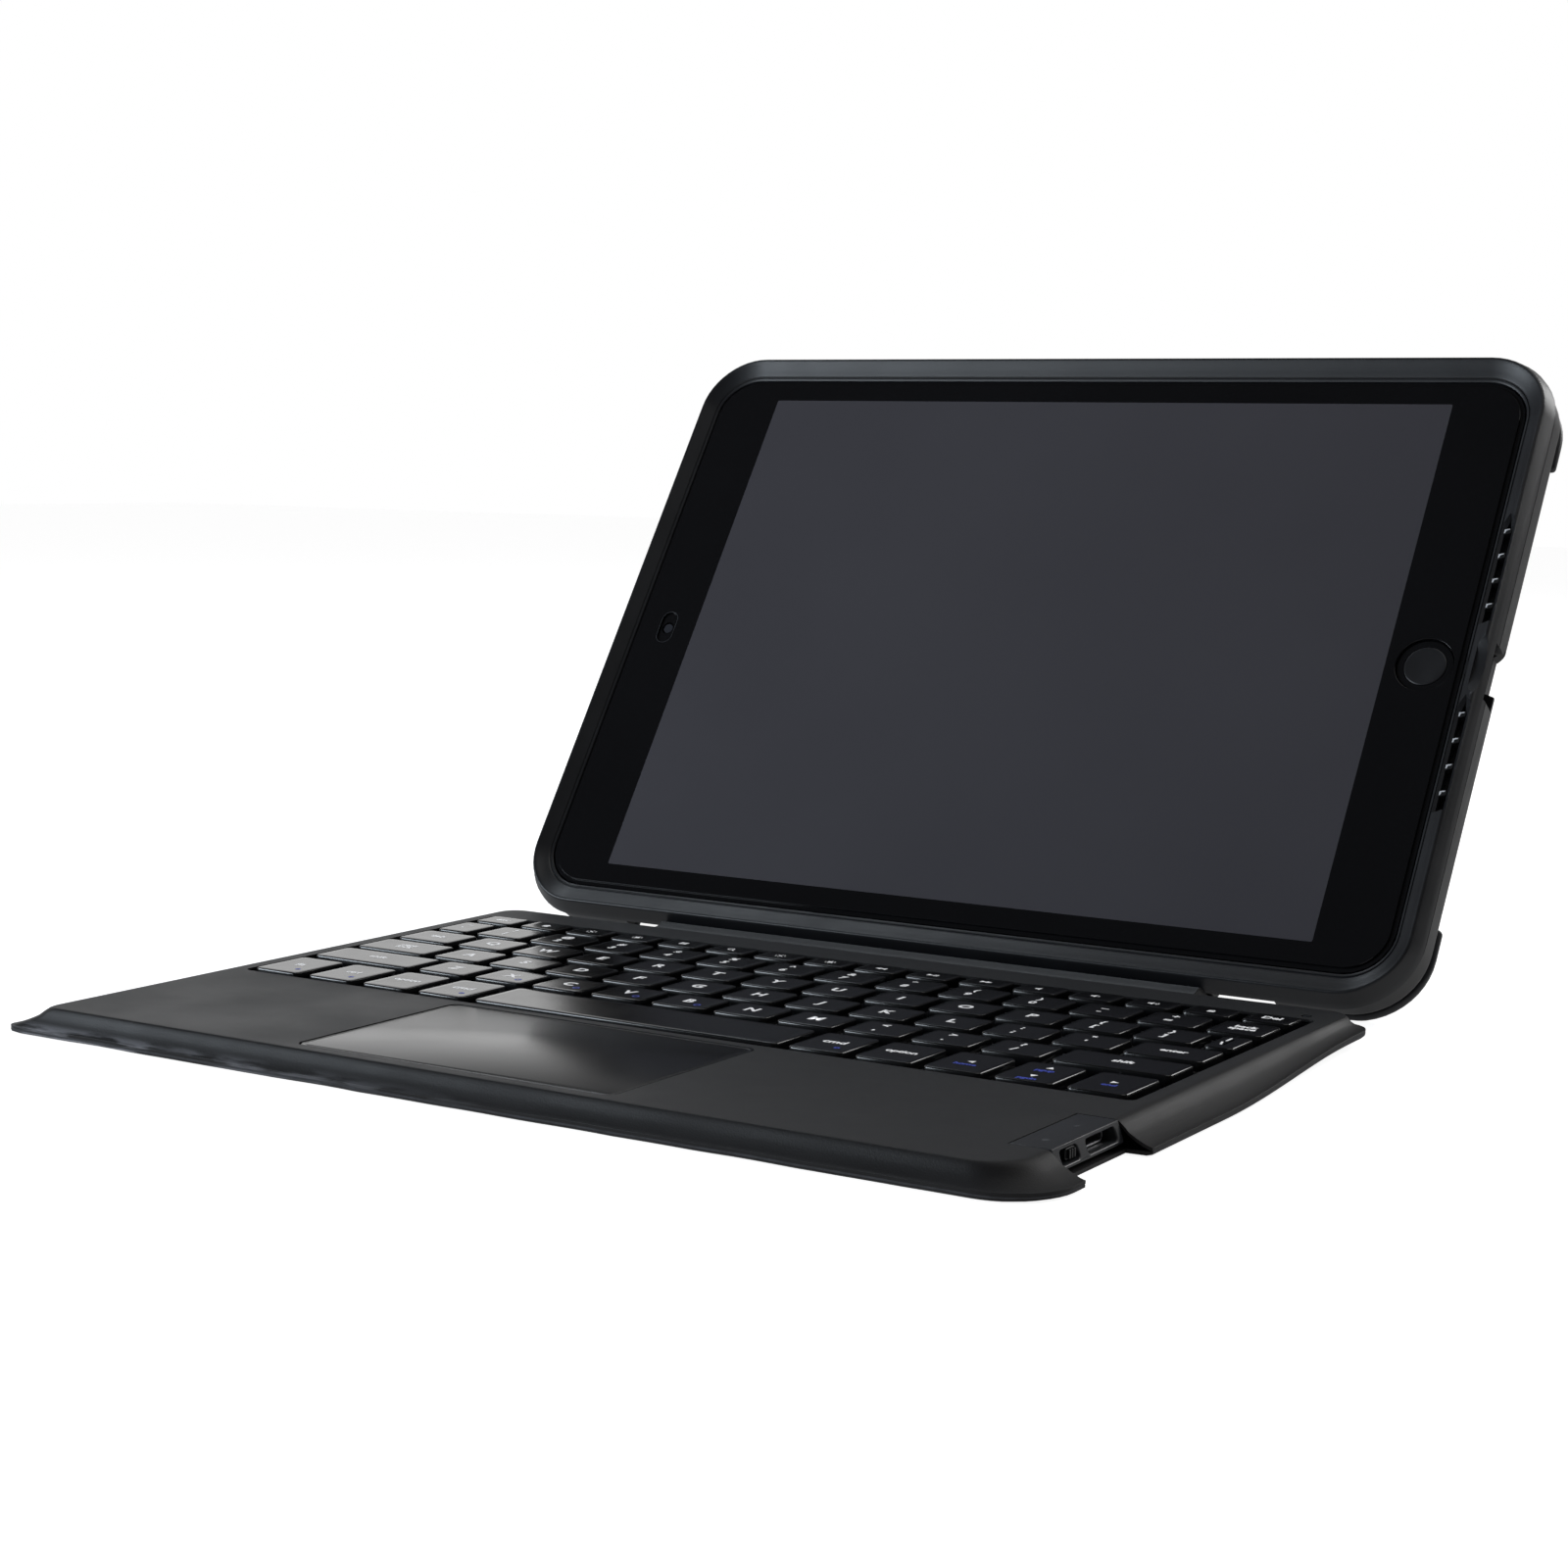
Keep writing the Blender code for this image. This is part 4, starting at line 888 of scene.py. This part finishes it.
def rear_shell():
    """The hard back: full walls, a rounded back edge, a raised panel and two grooves."""
    work = bmesh.new()
    half_u, half_v, radius = OUTER

    def ring(inset, n):
        return level(about(half_u - inset, half_v - inset, radius - inset, 12), n)

    rings = [ring(0.0, -3.1 * MM), ring(0.0, -8.0 * MM)]
    for step in range(1, 7):
        angle = math.pi / 2 * step / 6
        rings.append(ring(2.8 * MM * (1 - math.cos(angle)),
                          -8.0 * MM - 2.8 * MM * math.sin(angle)))
    rings += [ring(13 * MM, SHELL_BACK), ring(13.5 * MM, SHELL_BACK + 0.35 * MM),
              ring(15 * MM, SHELL_BACK + 0.35 * MM), ring(15.5 * MM, SHELL_BACK)]
    loft(work, rings)
    piece = finished("case_rear_shell", work, MATS["black_plastic"], "case", ["rear_shell"],
                     place=TABLET_PLACE)
    gap = 0.3 * MM
    pocket = about(OPENING[0] + gap, OPENING[1] + gap, OPENING[2] + gap)
    carve(piece, [
        prism(pocket, -8.0 * MM, 1 * MM),
        prism(circle(*REAR_CAMERA, 7.8 * MM, 40), -20 * MM, -7 * MM),
        block(OPENING[0] - 1 * MM, BEYOND, -PORT_HALF, PORT_HALF, -7.6 * MM, 1 * MM),
        [[Vector((u, v, n)) for u, v in (mm(128.1, -3.0), mm(134, -5.0),
                                         mm(134, 12.0), mm(128.1, 7.4))]
         for n in mm(-14, -7)],
        block(*FLAP_GAPS, -95 * MM, -88.6 * MM, -12 * MM, -3 * MM),
        block(-FLAP_GAPS[1], -FLAP_GAPS[0], -95 * MM, -88.6 * MM, -12 * MM, -3 * MM),
        block(VOLUME_COVERS[0][1] - gap, VOLUME_COVERS[1][1] + COVER_LENGTH + gap, 89.5 * MM,
              BEYOND, COVER_N[0] - gap, COVER_N[1] + gap),
        block(-BEYOND, -127.4 * MM, POWER_COVER_V[0] - gap, POWER_COVER_V[1] + gap,
              COVER_N[0] - gap, COVER_N[1] + gap)], TABLET_PLACE)
    round_edges(piece, 0.2 * MM, 2)


def corner_bumper(side, up):
    """A thick rubber pad around a back corner."""
    name = "corner_bumper_" + ("top" if up > 0 else "bottom") + ("_right" if side > 0 else "_left")
    half_u, half_v = OUTER[0] - 0.2 * MM, OUTER[1] - 0.2 * MM
    radius, band = OUTER[2], 7 * MM
    centre = (half_u - radius, half_v - radius)
    sweep = [math.radians(90 - 90 * k / 12) for k in range(13)]

    def arc(reach):
        return [(centre[0] + reach * math.cos(a), centre[1] + reach * math.sin(a)) for a in sweep]

    outer = [(96 * MM, half_v)] + arc(radius) + [(half_u, 66 * MM)]
    inner = [(96 * MM, half_v - band)] + arc(radius - band) + [(half_u - band, 66 * MM)]
    low, high = -13.8 * MM, -11.1 * MM
    outline = outer + list(reversed(inner))
    placed = [(u * side, v * up) for u, v in outline]
    work = bmesh.new()
    loft(work, prism(placed, low, high))
    piece = finished(name + "_pad", work, MATS["black_rubber"], "case", [name], place=TABLET_PLACE,
                     bevel=1.1 * MM, segments=4)


def case_covers():
    """Rubber covers over the tablet's volume and power buttons."""
    for node, left in VOLUME_COVERS:
        work = bmesh.new()
        loft(work, [[Vector((u, v, n)) for u, n in
                     rounded(left, left + COVER_LENGTH, *COVER_N, 1.4 * MM, 5)]
                    for v in mm(90.4, 92.6)])
        piece = finished(node + "_pad", work, MATS["black_rubber"], node + "_body", [node],
                         place=TABLET_PLACE, bevel=0.3 * MM)
    work = bmesh.new()
    loft(work, [[Vector((u, v, n)) for v, n in
                 rounded(*POWER_COVER_V, *COVER_N, 1.4 * MM, 5)]
                for u in mm(-130.5, -128.3)])
    piece = finished("power_cover_pad", work, MATS["black_rubber"], "power_cover_body",
                     ["power_cover"], place=TABLET_PLACE, bevel=0.3 * MM)


# ---- flap

def on_case(v, n):
    return CENTRE + V_AXIS * v + N_AXIS * n


def flap():
    """One strip of fabric from under the deck's back edge, over the hinge line, to the case."""
    path = [Vector((0, 87.2 * MM, 4.9 * MM)), Vector((0, 89.5 * MM, 4.6 * MM)),
            Vector((0, 92.0 * MM, 4.5 * MM)), Vector((0, 94.0 * MM, 4.5 * MM)),
            HINGE + Vector((0, 0.4 * MM, -1.3 * MM)),
            on_case(-93.8 * MM, 0.6 * MM), on_case(-93.5 * MM, -1.5 * MM),
            on_case(-93.3 * MM, -4.5 * MM), on_case(-93.2 * MM, -8.0 * MM),
            on_case(-92.7 * MM, -10.6 * MM), on_case(-91.4 * MM, -11.4 * MM)]
    smooth = []
    for index in range(len(path) - 1):
        before = path[max(index - 1, 0)]
        here, after = path[index], path[index + 1]
        beyond = path[min(index + 2, len(path) - 1)]
        for step in range(4):
            t = step / 4
            smooth.append(0.5 * ((2 * here) + (after - before) * t
                                 + (2 * before - 5 * here + 4 * after - beyond) * t * t
                                 + (3 * here - before - 3 * after + beyond) * t ** 3))
    smooth.append(path[-1])
    half = 0.35 * MM
    across = 40
    work = bmesh.new()
    top, bottom = [], []
    for index, point in enumerate(smooth):
        tangent = smooth[min(index + 1, len(smooth) - 1)] - smooth[max(index - 1, 0)]
        side = Vector((0, -tangent.z, tangent.y)).normalized() * half
        for rows, sign in ((top, 1), (bottom, -1)):
            rows.append([point + side * sign + Vector((FLAP_HALF * (2 * k / across - 1), 0, 0))
                         for k in range(across + 1)])
    rings = [upper + list(reversed(lower)) for upper, lower in zip(top, bottom)]
    loft(work, rings)
    piece = finished("flap_strip", work, MATS["flap_fabric"], None,
                     ["flap_keyboard_side", "flap_case_side"])
    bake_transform(piece)


# ---- kickstand and hardware

def dress_nodes():
    """Every CAD node gets a finished material from its slot, and a few listed ones get softer edges."""
    slots = {entry["node"]: entry["material_slot"] for entry in frame["record"]["subparts"]}
    for name, node in frame["nodes"].items():
        node.data.materials.clear()
        node.data.materials.append(MATS[slots[name]])
    for name, width in (("kickstand_leg", 0.5), ("kickstand_foot", 0.8),
                        ("kickstand_bracket", 0.5),
                        ("camera_ring", 0.25), ("flap_bar", 0.4), ("flap_screw_left", 0.3),
                        ("flap_screw_right", 0.3), ("charging_socket", 0.06)):
        round_edges(frame["nodes"][name], width * MM)


# ---- tablet

def tablet_front():
    """The film over the glass, with a dark window and cut-outs for button and camera."""
    work = bmesh.new()
    half_u, half_v, radius = [size - 1.2 * MM for size in TABLET]
    low, high = -0.05 * MM, 0.25 * MM
    rings = [level(about(half_u - d, half_v - d, radius - d, 12), n)
             for d, n in ((0.0, low), (0.0, high - 0.08 * MM), (0.10 * MM, high))]
    loft(work, rings)
    film = finished("screen_film_sheet", work, MATS["black_glass"], "tablet", ["screen_film"],
                    place=TABLET_PLACE)
    u, v = FRONT_CAMERA
    carve(film, [
        prism(circle(HOME_U, 0.0, 7.5 * MM, 64), -1 * MM, 1 * MM),
        prism(rounded(u - 2.6 * MM, u + 2.6 * MM, v - 5 * MM, v + 5 * MM, 2.5 * MM), -1 * MM,
              1 * MM)],
        TABLET_PLACE)
    round_edges(film, 0.06 * MM, 2)
    # Pale ring round the camera cut-out: a painted highlight along the film's cut edge.
    edges = bmesh.new()

    def cut(d):
        return rounded(u - 2.6 * MM - d, u + 2.6 * MM + d, v - 5 * MM - d, v + 5 * MM + d,
                       2.5 * MM + d)

    loft(edges, [level(cut(d), high + lift) for d, lift in
                 ((0.0, -0.12 * MM), (0.0, 0.008 * MM), mm(0.12, 0.008), mm(0.12, -0.12))],
         loop=True)
    rims = finished("film_cut_edge_highlights", edges, FILM_EDGE_HIGHLIGHT, "tablet", place=TABLET_PLACE)
    window = bmesh.new()
    loft(window, prism(about(*DISPLAY, 0.4 * MM, 2), high - 0.1 * MM, high + 0.012 * MM))
    shown = finished("display_window", window, MATS["dark_screen"], "tablet", place=TABLET_PLACE)


def home_button():
    """A satin face in a wide dark ring."""
    work = bmesh.new()
    profile = ((7.2, -1.4), (7.2, -0.62), (7.1, -0.52), (5.6, -0.55), (5.45, -0.75), (4.0, -0.9))
    loft(work, [level(circle(HOME_U, 0.0, radius * MM, 64), n * MM) for radius, n in profile])
    button = finished("home_button_ring", work, MATS["black_glass"], "home_button_body",
                      ["home_button"], place=TABLET_PLACE)
    work = bmesh.new()
    profile = ((5.35, -0.95), (5.35, -0.50), (5.2, -0.42), (4.9, -0.42), (3.6, -0.52),
               (1.5, -0.58))
    loft(work, [level(circle(HOME_U, 0.0, radius * MM, 64), n * MM) for radius, n in profile])
    face = finished("home_button_face", work, BUTTON_FACE, "home_button_body", place=TABLET_PLACE)


# ---- camera, light and floor

CAMERA_PLACE = Vector((0.34725, -0.52758, 0.13374))
CAMERA_AZIMUTH = math.radians(31.81)
CAMERA_ELEVATION = math.radians(6.76)
CAMERA_ROLL = math.radians(0.97)
CAMERA_LENS = 64.51


def camera():
    data = bpy.data.cameras.new("camera")
    data.lens = CAMERA_LENS
    data.sensor_width = 36.0
    data.clip_start = 0.01
    eye = bpy.data.objects.new("camera", data)
    bpy.context.scene.collection.objects.link(eye)
    back = Vector((math.sin(CAMERA_AZIMUTH) * math.cos(CAMERA_ELEVATION),
                   -math.cos(CAMERA_AZIMUTH) * math.cos(CAMERA_ELEVATION),
                   math.sin(CAMERA_ELEVATION)))
    right = Vector((0, 0, 1)).cross(back).normalized()
    up = back.cross(right)
    c, s = math.cos(CAMERA_ROLL), math.sin(CAMERA_ROLL)
    across, tall = right * c + up * s, up * c - right * s
    eye.matrix_world = Matrix((
        (across.x, tall.x, back.x, CAMERA_PLACE.x),
        (across.y, tall.y, back.y, CAMERA_PLACE.y),
        (across.z, tall.z, back.z, CAMERA_PLACE.z),
        (0.0, 0.0, 0.0, 1.0)))
    bpy.context.scene.camera = eye


def softbox(name, place, aim, size, power, colour=(1.0, 1.0, 1.0)):
    data = bpy.data.lights.new(name, "AREA")
    data.shape = "RECTANGLE"
    data.size, data.size_y = size
    data.energy = power
    data.color = colour
    lamp = bpy.data.objects.new(name, data)
    lamp.location = place
    lamp.rotation_euler = (Vector(aim) - Vector(place)).to_track_quat("-Z", "Y").to_euler()
    bpy.context.scene.collection.objects.link(lamp)


def surroundings():
    """A white sweep behind the object, dim in front of it, over a pale floor."""
    world = bpy.data.worlds.new("studio")
    bpy.context.scene.world = world
    world.use_nodes = True
    nodes, links = world.node_tree.nodes, world.node_tree.links
    background = nodes["Background"]
    direction = nodes.new("ShaderNodeTexCoord").outputs["Generated"]
    toward = nodes.new("ShaderNodeVectorMath")
    toward.operation = "DOT_PRODUCT"
    toward.inputs[1].default_value = (-0.62, 0.72, -0.30)
    links.new(direction, toward.inputs[0])
    sweep = ramp(nodes, 0.48, 0.88, 0.035, 1.10)
    links.new(toward.outputs["Value"], sweep.inputs["Value"])
    path = nodes.new("ShaderNodeLightPath")
    seen = nodes.new("ShaderNodeMix")
    seen.inputs[3].default_value = 1.0
    links.new(path.outputs["Is Camera Ray"], seen.inputs[0])
    links.new(sweep.outputs["Result"], seen.inputs[2])
    links.new(seen.outputs[0], background.inputs["Strength"])
    background.inputs["Color"].default_value = (1.0, 1.0, 1.0, 1.0)
    softbox("overhead", (0.35, 0.35, 1.3), (0.0, 0.1, 0.0), (1.2, 1.0), 3.6)
    softbox("low left front", (-1.05, -0.80, 0.40), (0.0, 0.12, 0.12), (0.8, 0.34), 12.0,
            (0.82, 0.91, 1.0))
    softbox("upper left strip", (-0.80, 0.42, 1.2), (-0.05, 0.1, 0.0), (0.35, 0.25), 1.5,
            (0.84, 0.92, 1.0))
    softbox("back fill", (0.75, 1.45, 0.75), (0.0, 0.15, 0.08), (0.8, 0.6), 9.0)
    work = bmesh.new()
    bmesh.ops.create_grid(work, x_segments=1, y_segments=1, size=4.0)
    mesh = bpy.data.meshes.new("floor")
    work.to_mesh(mesh)
    work.free()
    floor = bpy.data.objects.new("floor", mesh)
    floor.location.z = -0.05 * MM
    bpy.context.scene.collection.objects.link(floor)
    pale = material("pale floor", (0.60, 0.60, 0.60), 0.9, 2 * MM, 0.01 * MM, 0.01,
                    Emission_Color=(1.0, 1.0, 1.0, 1.0))
    nodes, links = pale.node_tree.nodes, pale.node_tree.links
    glow = ramp(nodes, 0.0, 1.0, 0.22, 0.90)
    links.new(nodes.new("ShaderNodeLightPath").outputs["Is Camera Ray"], glow.inputs["Value"])
    links.new(glow.outputs["Result"], nodes["Principled BSDF"].inputs["Emission Strength"])
    mesh.materials.append(pale)
    bpy.context.scene.view_settings.view_transform = "Standard"


dress_nodes()
folio_top()
folio_base()
raw_edge()
keyboard_keys()
trackpad()
port_module()
power_switch()
front_frame()
speaker_ribs()
rear_shell()
for side in (-1, 1):
    for up in (-1, 1):
        corner_bumper(side, up)
case_covers()
flap()
tablet_front()
home_button()
camera()
surroundings()
